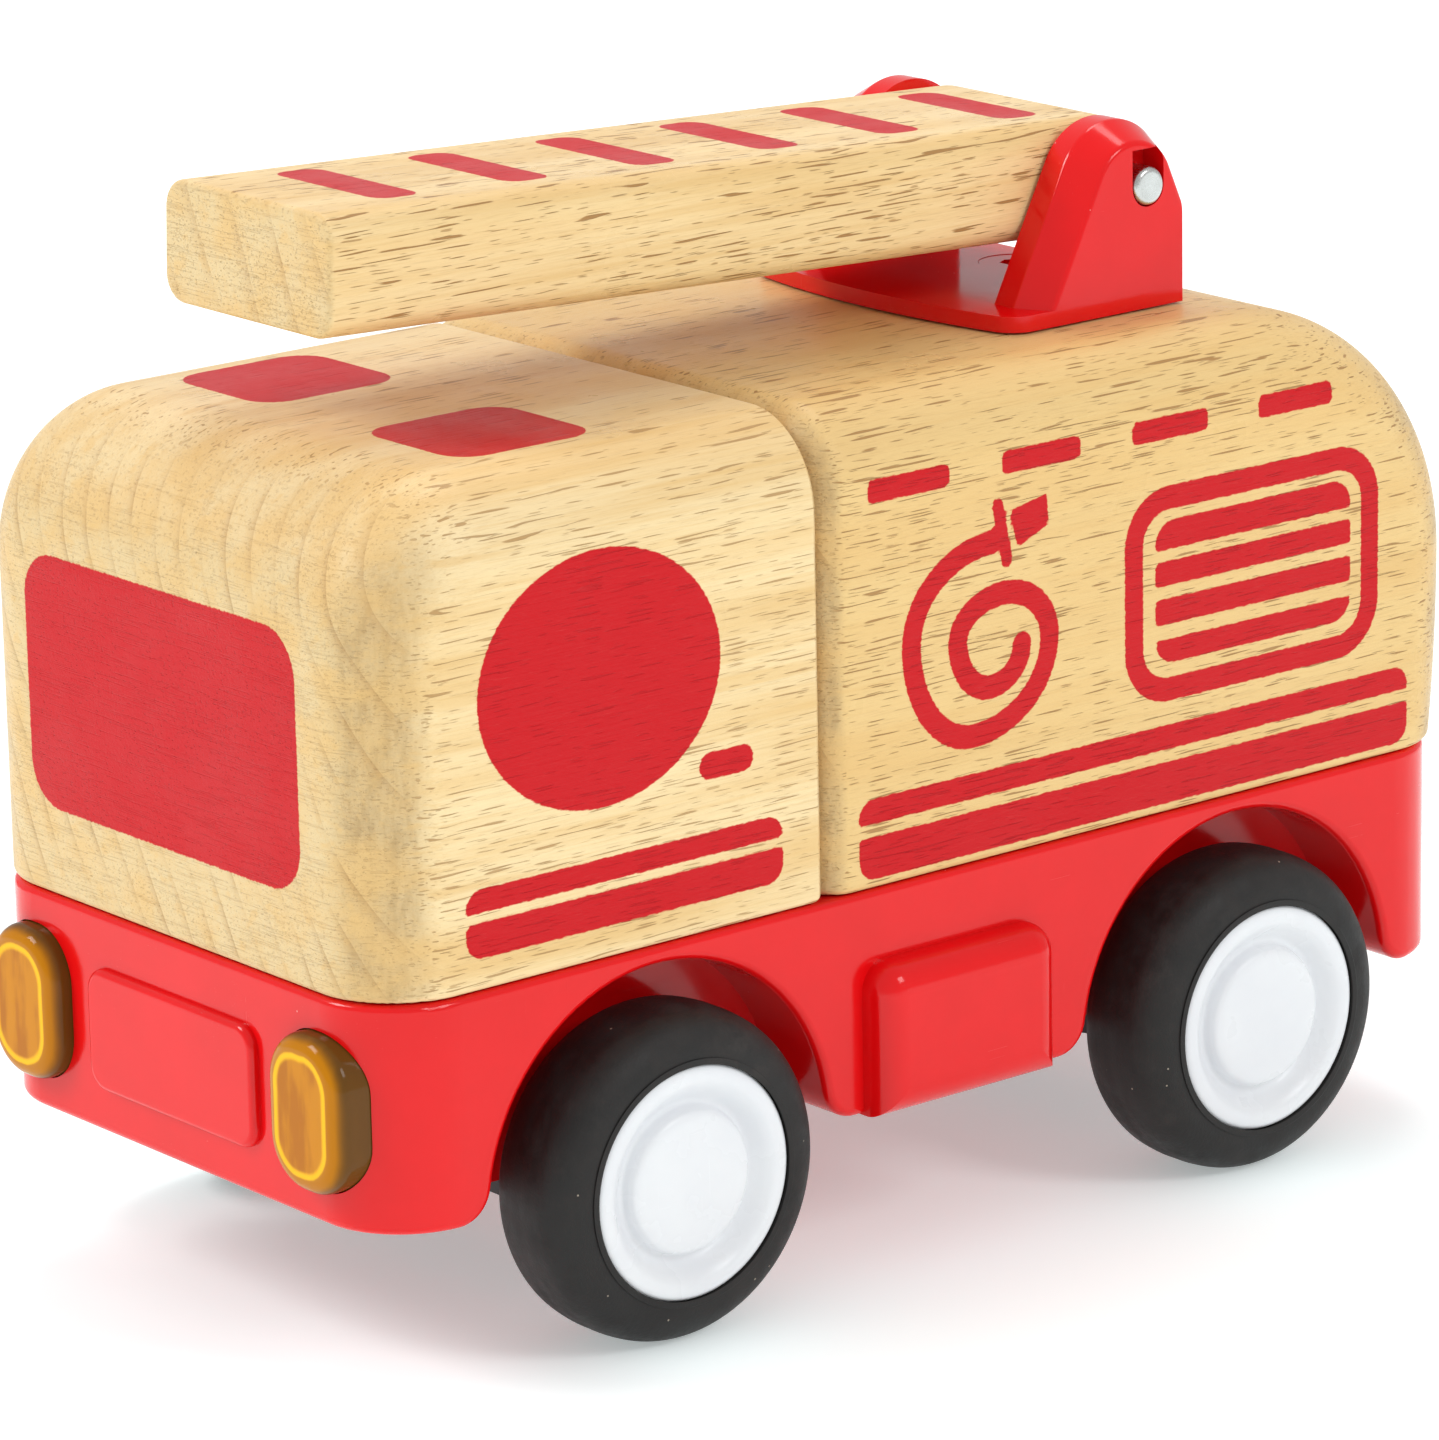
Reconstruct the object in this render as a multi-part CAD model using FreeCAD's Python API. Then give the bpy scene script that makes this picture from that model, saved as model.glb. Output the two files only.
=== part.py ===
"""Toy fire engine: wooden blocks on a moulded chassis, free rolling wheels, a ladder that swings and rises.

Frame: millimetres, +Z up, the front of the vehicle faces -Y, its left side is +X.
The origin is on the floor, under the middle of the overall box.
"""
import FreeCAD, Part
import math
import os

Vec = FreeCAD.Vector
X_AXIS = Vec(1, 0, 0)
Z_AXIS = Vec(0, 0, 1)

# Working allowances: how far a cutting tool runs past a face, and how close counts as equal
PAST = 1.0
NEAR = 0.01

# Overall body
FRONT_Y = -59.5
REAR_Y = 60.5
BODY_W = 57.0
HALF_W = BODY_W / 2
CORNER_R = 8.0

# Chassis shell
CHASSIS_BOTTOM = 14.2
CHASSIS_TOP = 33.6
WALL = 2.2
DECK = 2.2
CHASSIS_EDGE_R = 0.6
ARCH_R = 17.8
ARCH_FOOT_R = 3.2
ARCH_LIP_R = 0.8
WELL_WALL = 1.7
WELL_INNER_X = 20.8
RIB_T = 2.0
RIB_XS = (-15.0, -6.0, 6.0, 15.0)
RIB_HALF_LEN = 7.0

# Raised bumper panel on the front
PANEL_HALF_W = 11.8
PANEL_LOW = 18.3
PANEL_HIGH = 29.0
PANEL_PROUD = 0.8
PANEL_CORNER_R = 2.2
PANEL_EDGE_R = 0.64

# Equipment box on each side
BOX_HALF_LEN = 10.0
BOX_PROUD = 3.0
BOX_TOP = 27.6
BOX_EDGE_R = 2.6

# Headlamp lenses
LENS_X = 20.0
LENS_W = 9.9
LENS_LOW = 17.2
LENS_HIGH = 30.6
LENS_PROUD = 2.0
LENS_CORNER_R = 4.5
LENS_EDGE_R = 1.5
LENS_SEAT = 3.4
LENS_GAP = 0.1

# Wheels and axles
AXLE_Z = 14.25
AXLE_R = 1.5
FRONT_AXLE_Y = -31.0
REAR_AXLE_Y = 33.5
AXLE_HALF_LEN = 29.6
AXLE_CHAMFER = 0.3
RUNNING_GAP = 0.08
TYRE_R = 14.25
TYRE_W = 10.3
TYRE_SHOULDER_R = 3.9
WHEEL_OUTER_X = 32.5
HUB_R = 10.2
HUB_RIM_R = 1.3
HUB_CHANNEL_R = 8.2
HUB_DOME_R = 6.4
HUB_DOME_EDGE_R = 1.0
HUB_CHANNEL_DEPTH = 1.6
HUB_CHANNEL_FLARE = 0.9
HUB_DOME_DROP = 0.2
HUB_END_GAP = 0.05
HUB_SEAT_GAP = 0.02
HUB_BOSS_R = 4.2
HUB_BOSS_LEN = 1.1
PRESS_GAP = 0.01

# Axle keepers under the chassis
KEEPER_HALF_W = 17.0
KEEPER_HALF_LEN = 7.0
KEEPER_BOTTOM = 10.4
KEEPER_TOP_GAP = 0.02
KEEPER_CORNER_R = 2.0
KEEPER_SCREW_X = 12.0
KEEPER_SCREW_DY = 4.4
KEEPER_SCREW_R = 1.2
KEEPER_SCREW_LEN = 10.0
KEEPER_HEAD_R = 2.2
KEEPER_HEAD_H = 1.4
BOSS_R = 3.2

# Wooden blocks
BLOCK_BOTTOM = 33.7
ROOF_Z = 75.0
CAB_REAR_Y = -13.5
REAR_BLOCK_FRONT_Y = -13.1
CAB_BROW_R = 13.0
TAIL_BROW_R = 24.0
TAIL_BULGE = 1.0
CAB_EDGE_R = 8.0
REAR_EDGE_R = 7.0
CAB_REAR_EDGE_R = 0.7
GROOVE_EDGE_R = 3.0
BLOCK_FOOT_R = 0.8

# Wood screws driven up through the deck
WOOD_SCREW_R = 1.6
WOOD_SCREW_LEN = 17.0
WOOD_HEAD_R = 3.4
WOOD_HEAD_H = 2.0
CAB_SCREW_YS = (-47.5, -18.8)
REAR_SCREW_YS = (3.5, 51.5)
DRIVE_R = 1.3
DRIVE_DEPTH = 1.0

# Screw forms, as shares of the head height and of the shank radius
HEAD_ROUND = 0.35
POINT_LEN = 2.0
POINT_TIP = 0.2

# Ladder bracket
BRACKET_GAP = 0.2
BASE_Z = ROOF_Z + BRACKET_GAP
BASE_T = 1.4
BASE_FRONT_Y = 15.9
BASE_REAR_Y = 37.2
BASE_HALF_W = 17.5
BASE_BOW = 1.9
BASE_CORNER_R = 2.6
EAR_INNER_X = 11.9
EAR_BEVEL_ACROSS = 3.2
EAR_BEVEL_IN = 1.6
EAR_RIDGE_R = 0.6
PIN_Y = 33.2
PIN_Z = 85.9
PIN_R = 1.7
PIN_PROUD = 0.3
PIN_EDGE_R = 0.5
EAR_TOP_R = 6.0
EAR_TOP_CENTRE_Y = 31.7
EAR_TOP_CENTRE_Z = 85.5
EAR_FOOT_Y = 19.7
SLOT_HALF_W = 1.8
SLOT_TOP = 89.2
SLOT_DEPTH = 2.6

# Swivel screw of the bracket
SWIVEL_Y = 33.2
SWIVEL_R = 2.0
SWIVEL_LEN = 18.0
SWIVEL_HEAD_R = 3.1
SWIVEL_HEAD_H = 1.1
SWIVEL_SINK = 0.05

# Ladder bar
BAR_HALF_W = 11.5
BAR_T = 10.3
BAR_LEN = 82.8
BAR_TILT = 2.3
BAR_EDGE_R = 2.4
BAR_END_R = 0.6


def box(x0, x1, y0, y1, z0, z1):
    """A box between two corners."""
    return Part.makeBox(x1 - x0, y1 - y0, z1 - z0, Vec(x0, y0, z0))


def cylinder(radius, start, end):
    """A cylinder from one point to another."""
    along = end - start
    return Part.makeCylinder(radius, along.Length, start, along)


def edges_where(shape, test):
    """The edges whose middle point and bounding box pass the test."""
    picked = []
    for edge in shape.Edges:
        middle = edge.valueAt((edge.FirstParameter + edge.LastParameter) / 2)
        if test(middle, edge.BoundBox):
            picked.append(edge)
    return picked


def near(a, b):
    """True when two lengths agree to a hundredth."""
    return abs(a - b) < NEAR


def prism(points, direction):
    """Extrudes a closed outline given as a list of edges."""
    return Part.Face(Part.Wire(points)).extrude(direction)


def rounded_slab(x0, x1, z0, z1, corner, y0, y1):
    """A slab lying in the XZ plane, from y0 to y1, with rounded corners."""
    slab = box(x0, x1, y0, y1, z0, z1)
    along_y = edges_where(slab, lambda m, b: b.YLength > abs(y1 - y0) - NEAR)
    return slab.makeFillet(corner, along_y)


def arch_cutter(axle_y, radius, foot_r, x0, x1):
    """The space of a wheel arch: a round top on two flared feet, between two x planes."""
    reach = radius + foot_r
    foot_z = CHASSIS_BOTTOM + foot_r
    foot_dy = math.sqrt(reach ** 2 - (foot_z - AXLE_Z) ** 2)
    turn = math.atan2(foot_z - AXLE_Z, foot_dy)
    meet_dy = radius * math.cos(turn)
    meet_z = AXLE_Z + radius * math.sin(turn)
    half = (math.pi / 2 + turn) / 2 - turn
    bend = Vec(0, foot_dy - foot_r * math.sin(half), foot_z - foot_r * math.cos(half))

    def at(dy, z):
        return Vec(x0, axle_y + dy, z)

    low = CHASSIS_BOTTOM - 2 * PAST
    outline = [
        Part.LineSegment(at(-foot_dy, low), at(-foot_dy, CHASSIS_BOTTOM)).toShape(),
        Part.Arc(at(-foot_dy, CHASSIS_BOTTOM), at(-bend.y, bend.z), at(-meet_dy, meet_z)).toShape(),
        Part.Arc(at(-meet_dy, meet_z), at(0, AXLE_Z + radius), at(meet_dy, meet_z)).toShape(),
        Part.Arc(at(meet_dy, meet_z), at(bend.y, bend.z), at(foot_dy, CHASSIS_BOTTOM)).toShape(),
        Part.LineSegment(at(foot_dy, CHASSIS_BOTTOM), at(foot_dy, low)).toShape(),
        Part.LineSegment(at(foot_dy, low), at(-foot_dy, low)).toShape(),
    ]
    return prism(outline, Vec(x1 - x0, 0, 0))


def chassis_body():
    """The solid outer form of the chassis: round corners, wheel wells and softened edges."""
    body = box(-HALF_W, HALF_W, FRONT_Y, REAR_Y, CHASSIS_BOTTOM, CHASSIS_TOP)
    uprights = edges_where(body, lambda m, b: b.ZLength > 1)
    body = body.makeFillet(CORNER_R, uprights)
    rim = edges_where(body, lambda m, b: near(m.z, CHASSIS_TOP) and b.ZLength < NEAR)
    body = body.makeFillet(CHASSIS_EDGE_R, rim)
    for axle_y in (FRONT_AXLE_Y, REAR_AXLE_Y):
        for side in (-1, 1):
            x0, x1 = sorted((side * WELL_INNER_X, side * (HALF_W + PAST)))
            body = body.cut(arch_cutter(axle_y, ARCH_R, ARCH_FOOT_R, x0, x1))
    return body.makeFillet(ARCH_LIP_R, edges_where(body, is_lower_outline))


def side_box(side):
    """The raised equipment box on one side, with softly rounded edges."""
    middle_y = (FRONT_Y + REAR_Y) / 2
    y0 = middle_y - BOX_HALF_LEN
    y1 = middle_y + BOX_HALF_LEN
    outer = HALF_W + BOX_PROUD
    block = box(HALF_W - WALL, outer, y0, y1, CHASSIS_BOTTOM, BOX_TOP)
    round_edges = edges_where(
        block,
        lambda m, b: near(m.x, outer) or (b.XLength > 1 and near(m.z, BOX_TOP)),
    )
    block = block.makeFillet(BOX_EDGE_R, round_edges)
    if side < 0:
        block = block.mirror(Vec(0, 0, 0), X_AXIS)
    return block


def front_panel():
    """The raised panel between the headlamps."""
    y0 = FRONT_Y - PANEL_PROUD
    slab = rounded_slab(
        -PANEL_HALF_W, PANEL_HALF_W, PANEL_LOW, PANEL_HIGH, PANEL_CORNER_R, y0, FRONT_Y + PAST
    )
    rim = edges_where(slab, lambda m, b: near(m.y, y0))
    return slab.makeFillet(PANEL_EDGE_R, rim)


def axle_supports(axle_y):
    """Ribs and screw bosses that carry one axle under the deck."""
    top = CHASSIS_TOP - DECK / 2
    pieces = [
        box(x - RIB_T / 2, x + RIB_T / 2, axle_y - RIB_HALF_LEN, axle_y + RIB_HALF_LEN, AXLE_Z, top)
        for x in RIB_XS
    ]
    for x, y in keeper_screw_places(axle_y):
        pieces.append(cylinder(BOSS_R, Vec(x, y, AXLE_Z), Vec(x, y, top)))
    return pieces


def chassis_shell():
    """The moulded chassis: outer form, hollow inside, wheel wells, ribs, bosses and lamp seats."""
    body = chassis_body()
    hollow_top = CHASSIS_TOP - DECK
    inner_r = CORNER_R - WALL
    hollow = box(
        WALL - HALF_W, HALF_W - WALL, FRONT_Y + WALL, REAR_Y - WALL, CHASSIS_BOTTOM - PAST, hollow_top
    )
    uprights = edges_where(hollow, lambda m, b: b.ZLength > 1)
    hollow = hollow.makeFillet(inner_r, uprights)
    for axle_y in (FRONT_AXLE_Y, REAR_AXLE_Y):
        for side in (-1, 1):
            x0, x1 = sorted((side * (WELL_INNER_X - WELL_WALL), side * (HALF_W + PAST)))
            hollow = hollow.cut(arch_cutter(axle_y, ARCH_R + WELL_WALL, ARCH_FOOT_R, x0, x1))
    for side in (-1, 1):
        x0, x1 = sorted((side * (LENS_X - LENS_W / 2 - PAST), side * HALF_W))
        hollow = hollow.cut(
            box(x0, x1, FRONT_Y, FRONT_Y + LENS_SEAT + WALL, CHASSIS_BOTTOM - PAST, hollow_top)
        )
    shell = body.cut(hollow)
    shell = shell.fuse([front_panel(), side_box(-1), side_box(1)])
    supports = []
    for axle_y in (FRONT_AXLE_Y, REAR_AXLE_Y):
        supports += axle_supports(axle_y)
    shell = shell.fuse(supports)
    return drill_chassis(shell).removeSplitter()


def is_lower_outline(middle, bounds):
    """True for the chassis's outer lower edges: front, rear, corners, sides and arch lips."""
    low = near(bounds.ZMin, CHASSIS_BOTTOM) and near(bounds.ZMax, CHASSIS_BOTTOM)
    across = near(middle.y, FRONT_Y) or near(middle.y, REAR_Y)
    corner = bounds.XLength > 1 and bounds.YLength > 1
    on_side = near(abs(middle.x), HALF_W) and bounds.XLength < 2 * NEAR and middle.z < CHASSIS_TOP - 1
    return (low and (across or corner)) or (on_side and bounds.YLength > 0.1)


def drill_chassis(shell):
    """Axle channels, screw holes and headlamp seats."""
    tools = []
    for axle_y in (FRONT_AXLE_Y, REAR_AXLE_Y):
        tools.append(axle_rod(axle_y, AXLE_R + RUNNING_GAP, HALF_W))
        for x, y in keeper_screw_places(axle_y):
            top = AXLE_Z + KEEPER_SCREW_LEN
            tools.append(cylinder(KEEPER_SCREW_R + PRESS_GAP, Vec(x, y, AXLE_Z - PAST), Vec(x, y, top)))
    for y in CAB_SCREW_YS + REAR_SCREW_YS:
        low = CHASSIS_TOP - DECK - PAST
        tools.append(cylinder(WOOD_SCREW_R + LENS_GAP, Vec(0, y, low), Vec(0, y, CHASSIS_TOP + PAST)))
    for side in (-1, 1):
        tools.append(lens_form(side, LENS_GAP, 0, LENS_PROUD + PAST))
    return shell.cut(tools)


def lens_form(side, grow, edge_r, proud):
    """The rounded block of one lens, grown by a gap, from its seat to its face."""
    x0 = LENS_X - LENS_W / 2 - grow
    x1 = LENS_X + LENS_W / 2 + grow
    y0 = FRONT_Y - proud
    y1 = FRONT_Y + LENS_SEAT + grow
    slab = rounded_slab(x0, x1, LENS_LOW - grow, LENS_HIGH + grow, LENS_CORNER_R + grow, y0, y1)
    if edge_r:
        slab = slab.makeFillet(edge_r, edges_where(slab, lambda m, b: near(m.y, y0)))
    if side < 0:
        slab = slab.mirror(Vec(0, 0, 0), X_AXIS)
    return slab


def keeper_screw_places(axle_y):
    """The two screw positions of one axle keeper, on opposite corners."""
    return (
        (-KEEPER_SCREW_X, axle_y - KEEPER_SCREW_DY),
        (KEEPER_SCREW_X, axle_y + KEEPER_SCREW_DY),
    )


def axle_rod(axle_y, radius, half_len):
    """A rod along X through the wheel centres."""
    return cylinder(radius, Vec(-half_len, axle_y, AXLE_Z), Vec(half_len, axle_y, AXLE_Z))


def axle(axle_y):
    """A steel axle with chamfered ends."""
    rod = axle_rod(axle_y, AXLE_R, AXLE_HALF_LEN)
    return rod.makeChamfer(AXLE_CHAMFER, edges_where(rod, lambda m, b: b.XLength < NEAR))


def axle_keeper(axle_y):
    """The moulded strap under one axle, with the lower half of its bearing."""
    strap = box(
        -KEEPER_HALF_W, KEEPER_HALF_W, axle_y - KEEPER_HALF_LEN, axle_y + KEEPER_HALF_LEN,
        KEEPER_BOTTOM, AXLE_Z - KEEPER_TOP_GAP,
    )
    strap = strap.makeFillet(KEEPER_CORNER_R, edges_where(strap, lambda m, b: b.ZLength > 1))
    tools = [axle_rod(axle_y, AXLE_R + RUNNING_GAP, HALF_W)]
    for x, y in keeper_screw_places(axle_y):
        tools.append(cylinder(KEEPER_SCREW_R + LENS_GAP, Vec(x, y, 0), Vec(x, y, AXLE_Z)))
        seat_top = KEEPER_BOTTOM + KEEPER_HEAD_H + LENS_GAP
        tools.append(cylinder(KEEPER_HEAD_R + LENS_GAP, Vec(x, y, 0), Vec(x, y, seat_top)))
    return strap.cut(tools)


def screw(x, y, head_face_z, up, shank_r, length, head_r, head_h):
    """A pan head screw with a hex drive: the head's outer face at head_face_z, the shank along up."""
    direction = Vec(0, 0, up)
    face = Vec(x, y, head_face_z)
    under = face + direction * head_h
    head = cylinder(head_r, face, under)
    head = head.makeFillet(head_h * HEAD_ROUND, edges_where(head, lambda m, b: near(m.z, head_face_z)))
    tip = under + direction * (length - shank_r * POINT_LEN)
    shank = cylinder(shank_r, under, tip)
    point = Part.makeCone(shank_r, shank_r * POINT_TIP, shank_r * POINT_LEN, tip, direction)
    drive = hexagon(x, y, head_face_z).extrude(direction * DRIVE_DEPTH)
    return head.fuse([shank, point]).cut(drive).removeSplitter()


def hexagon(x, y, z):
    """A flat six sided face of the drive socket's size."""
    corners = [
        Vec(x + DRIVE_R * math.cos(k * math.pi / 3), y + DRIVE_R * math.sin(k * math.pi / 3), z)
        for k in range(7)
    ]
    return Part.Face(Part.makePolygon(corners))


def keeper_screws():
    """The four screws that hold the axle keepers."""
    solids = []
    for axle_y in (FRONT_AXLE_Y, REAR_AXLE_Y):
        for x, y in keeper_screw_places(axle_y):
            solids.append(
                screw(x, y, KEEPER_BOTTOM, 1, KEEPER_SCREW_R, KEEPER_SCREW_LEN, KEEPER_HEAD_R, KEEPER_HEAD_H)
            )
    return Part.makeCompound(solids)


def block_screws(ys):
    """The wood screws that hold one block down, driven up from inside the chassis."""
    head_face = CHASSIS_TOP - DECK - WOOD_HEAD_H
    return Part.makeCompound(
        [screw(0, y, head_face, 1, WOOD_SCREW_R, WOOD_SCREW_LEN, WOOD_HEAD_R, WOOD_HEAD_H) for y in ys]
    )


def pilot_holes(ys):
    """The holes that the wood screws fill in a block."""
    depth = WOOD_SCREW_LEN
    return [
        cylinder(WOOD_SCREW_R + PRESS_GAP, Vec(0, y, BLOCK_BOTTOM - PAST), Vec(0, y, BLOCK_BOTTOM + depth))
        for y in ys
    ]


def end_of(shape, y):
    """The edges that lie in one end plane, without those of the foot."""
    return edges_where(
        shape, lambda m, b: near(m.y, y) and b.YLength < 2 * NEAR and m.z > BLOCK_BOTTOM + NEAR
    )


def side_outline(shape):
    """The edges that run round the two flat sides, without those of the foot and the cut end."""
    return edges_where(
        shape,
        lambda m, b: near(abs(m.x), HALF_W) and b.XLength < 2 * NEAR and m.z > BLOCK_BOTTOM + NEAR,
    )


def cab_block():
    """The front wooden block: a round brow at the front and rounded long edges."""
    block = box(-HALF_W, HALF_W, FRONT_Y, CAB_REAR_Y, BLOCK_BOTTOM, ROOF_Z)
    brow = edges_where(block, lambda m, b: near(m.y, FRONT_Y) and near(m.z, ROOF_Z))
    block = block.makeFillet(CAB_BROW_R, brow)
    outline = [e for e in side_outline(block) if not near(e.CenterOfMass.y, CAB_REAR_Y)]
    block = block.makeFillet(CAB_EDGE_R, outline)
    block = block.makeFillet(CAB_REAR_EDGE_R, end_of(block, CAB_REAR_Y))
    foot = edges_where(block, lambda m, b: near(m.z, BLOCK_BOTTOM) and b.ZLength < 2 * NEAR)
    block = block.makeFillet(BLOCK_FOOT_R, foot)
    return block.cut(pilot_holes(CAB_SCREW_YS))


def tail_profile():
    """The rear block's side outline: a long round brow that swells past the chassis and comes back."""
    def at(y, z):
        return Vec(-HALF_W, y, z)

    swell = REAR_Y + TAIL_BULGE
    brow_y = swell - TAIL_BROW_R
    brow_z = ROOF_Z - TAIL_BROW_R
    slant = math.sqrt(0.5) * TAIL_BROW_R
    drop = brow_z - BLOCK_BOTTOM
    front = REAR_BLOCK_FRONT_Y
    return [
        Part.LineSegment(at(front, BLOCK_BOTTOM), at(front, ROOF_Z)).toShape(),
        Part.LineSegment(at(front, ROOF_Z), at(brow_y, ROOF_Z)).toShape(),
        Part.Arc(at(brow_y, ROOF_Z), at(brow_y + slant, brow_z + slant), at(swell, brow_z)).toShape(),
        Part.Arc(
            at(swell, brow_z), at(swell - TAIL_BULGE / 4, brow_z - drop / 2), at(REAR_Y, BLOCK_BOTTOM)
        ).toShape(),
        Part.LineSegment(at(REAR_Y, BLOCK_BOTTOM), at(front, BLOCK_BOTTOM)).toShape(),
    ]


def rear_block():
    """The rear wooden block: a large round brow at the tail and a softened front end."""
    block = prism(tail_profile(), Vec(BODY_W, 0, 0))
    outline = [e for e in side_outline(block) if not near(e.CenterOfMass.y, REAR_BLOCK_FRONT_Y)]
    block = block.makeFillet(REAR_EDGE_R, outline)
    block = block.makeFillet(GROOVE_EDGE_R, end_of(block, REAR_BLOCK_FRONT_Y))
    foot = edges_where(block, lambda m, b: near(m.z, BLOCK_BOTTOM) and b.ZLength < 2 * NEAR)
    block = block.makeFillet(BLOCK_FOOT_R, foot)
    pilot = cylinder(
        SWIVEL_R + PRESS_GAP, Vec(0, SWIVEL_Y, ROOF_Z - SWIVEL_LEN), Vec(0, SWIVEL_Y, ROOF_Z + PAST)
    )
    return block.cut(pilot_holes(REAR_SCREW_YS) + [pilot])


def wheel_profile(points):
    """A closed outline in the XZ plane from (distance along the axle, radius) pairs and arcs."""
    edges = []
    for start, *middle, end in points:
        a = Vec(start[0], 0, start[1])
        b = Vec(end[0], 0, end[1])
        if middle:
            edges.append(Part.Arc(a, Vec(middle[0][0], 0, middle[0][1]), b).toShape())
        else:
            edges.append(Part.LineSegment(a, b).toShape())
    return Part.Face(Part.Wire(edges))


def spin_to_wheel(face, side, axle_y):
    """Turns a wheel outline into a solid on one end of an axle."""
    solid = face.revolve(Vec(0, 0, 0), X_AXIS, 360)
    if side < 0:
        solid = solid.mirror(Vec(0, 0, 0), X_AXIS)
    solid.translate(Vec(0, axle_y, AXLE_Z))
    return solid


def arc_middle(cx, cr, radius, degrees):
    """The point of a small arc at one angle round its centre."""
    turn = math.radians(degrees)
    return (cx + radius * math.cos(turn), cr + radius * math.sin(turn))


def tyre(side, axle_y):
    """A rubber tyre with round shoulders, open in the middle for the hub."""
    x1 = WHEEL_OUTER_X
    x0 = x1 - TYRE_W
    bore = HUB_R + HUB_SEAT_GAP
    s = TYRE_SHOULDER_R
    outline = [
        ((x0, bore), (x0, TYRE_R - s)),
        ((x0, TYRE_R - s), arc_middle(x0 + s, TYRE_R - s, s, 135), (x0 + s, TYRE_R)),
        ((x0 + s, TYRE_R), (x1 - s, TYRE_R)),
        ((x1 - s, TYRE_R), arc_middle(x1 - s, TYRE_R - s, s, 45), (x1, TYRE_R - s)),
        ((x1, TYRE_R - s), (x1, bore)),
        ((x1, bore), (x0, bore)),
    ]
    return spin_to_wheel(wheel_profile(outline), side, axle_y)


def hub(side, axle_y):
    """A moulded hub: round rim, sunken channel and a domed centre that hides the axle end."""
    x1 = WHEEL_OUTER_X
    x0 = x1 - TYRE_W
    r = HUB_RIM_R
    channel_x = x1 - HUB_CHANNEL_DEPTH
    dome_x = x1 - HUB_DOME_DROP
    channel_r = HUB_CHANNEL_R - HUB_CHANNEL_FLARE
    dome_r = HUB_DOME_R
    e = HUB_DOME_EDGE_R
    bore = AXLE_R + PRESS_GAP
    bore_end = AXLE_HALF_LEN + HUB_END_GAP
    outline = [
        ((x0 - HUB_BOSS_LEN, bore), (x0 - HUB_BOSS_LEN, HUB_BOSS_R)),
        ((x0 - HUB_BOSS_LEN, HUB_BOSS_R), (x0, HUB_BOSS_R)),
        ((x0, HUB_BOSS_R), (x0, HUB_R)),
        ((x0, HUB_R), (x1 - r, HUB_R)),
        ((x1 - r, HUB_R), (x1, HUB_R - r), (x1 - r, HUB_R - 2 * r)),
        ((x1 - r, HUB_R - 2 * r), (channel_x, channel_r)),
        ((channel_x, channel_r), (channel_x, dome_r)),
        ((channel_x, dome_r), (dome_x - e, dome_r)),
        ((dome_x - e, dome_r), arc_middle(dome_x - e, dome_r - e, e, 45), (dome_x, dome_r - e)),
        ((dome_x, dome_r - e), (dome_x, 0)),
        ((dome_x, 0), (bore_end, 0)),
        ((bore_end, 0), (bore_end, bore)),
        ((bore_end, bore), (x0 - HUB_BOSS_LEN, bore)),
    ]
    return spin_to_wheel(wheel_profile(outline), side, axle_y)


def bracket_base():
    """The thin base plate of the ladder bracket, bowed along its front edge."""
    w = BASE_HALF_W
    front = BASE_FRONT_Y
    side_front = front + BASE_BOW
    a = Vec(-w, side_front, BASE_Z)
    b = Vec(w, side_front, BASE_Z)
    c = Vec(w, BASE_REAR_Y, BASE_Z)
    d = Vec(-w, BASE_REAR_Y, BASE_Z)
    outline = [
        Part.Arc(a, Vec(0, front, BASE_Z), b).toShape(),
        Part.LineSegment(b, c).toShape(),
        Part.LineSegment(c, d).toShape(),
        Part.LineSegment(d, a).toShape(),
    ]
    plate = prism(outline, Vec(0, 0, BASE_T))
    corners = edges_where(plate, lambda m, b: b.ZLength > 1 and m.y < BASE_REAR_Y - 1)
    return plate.makeFillet(BASE_CORNER_R, corners)


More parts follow.
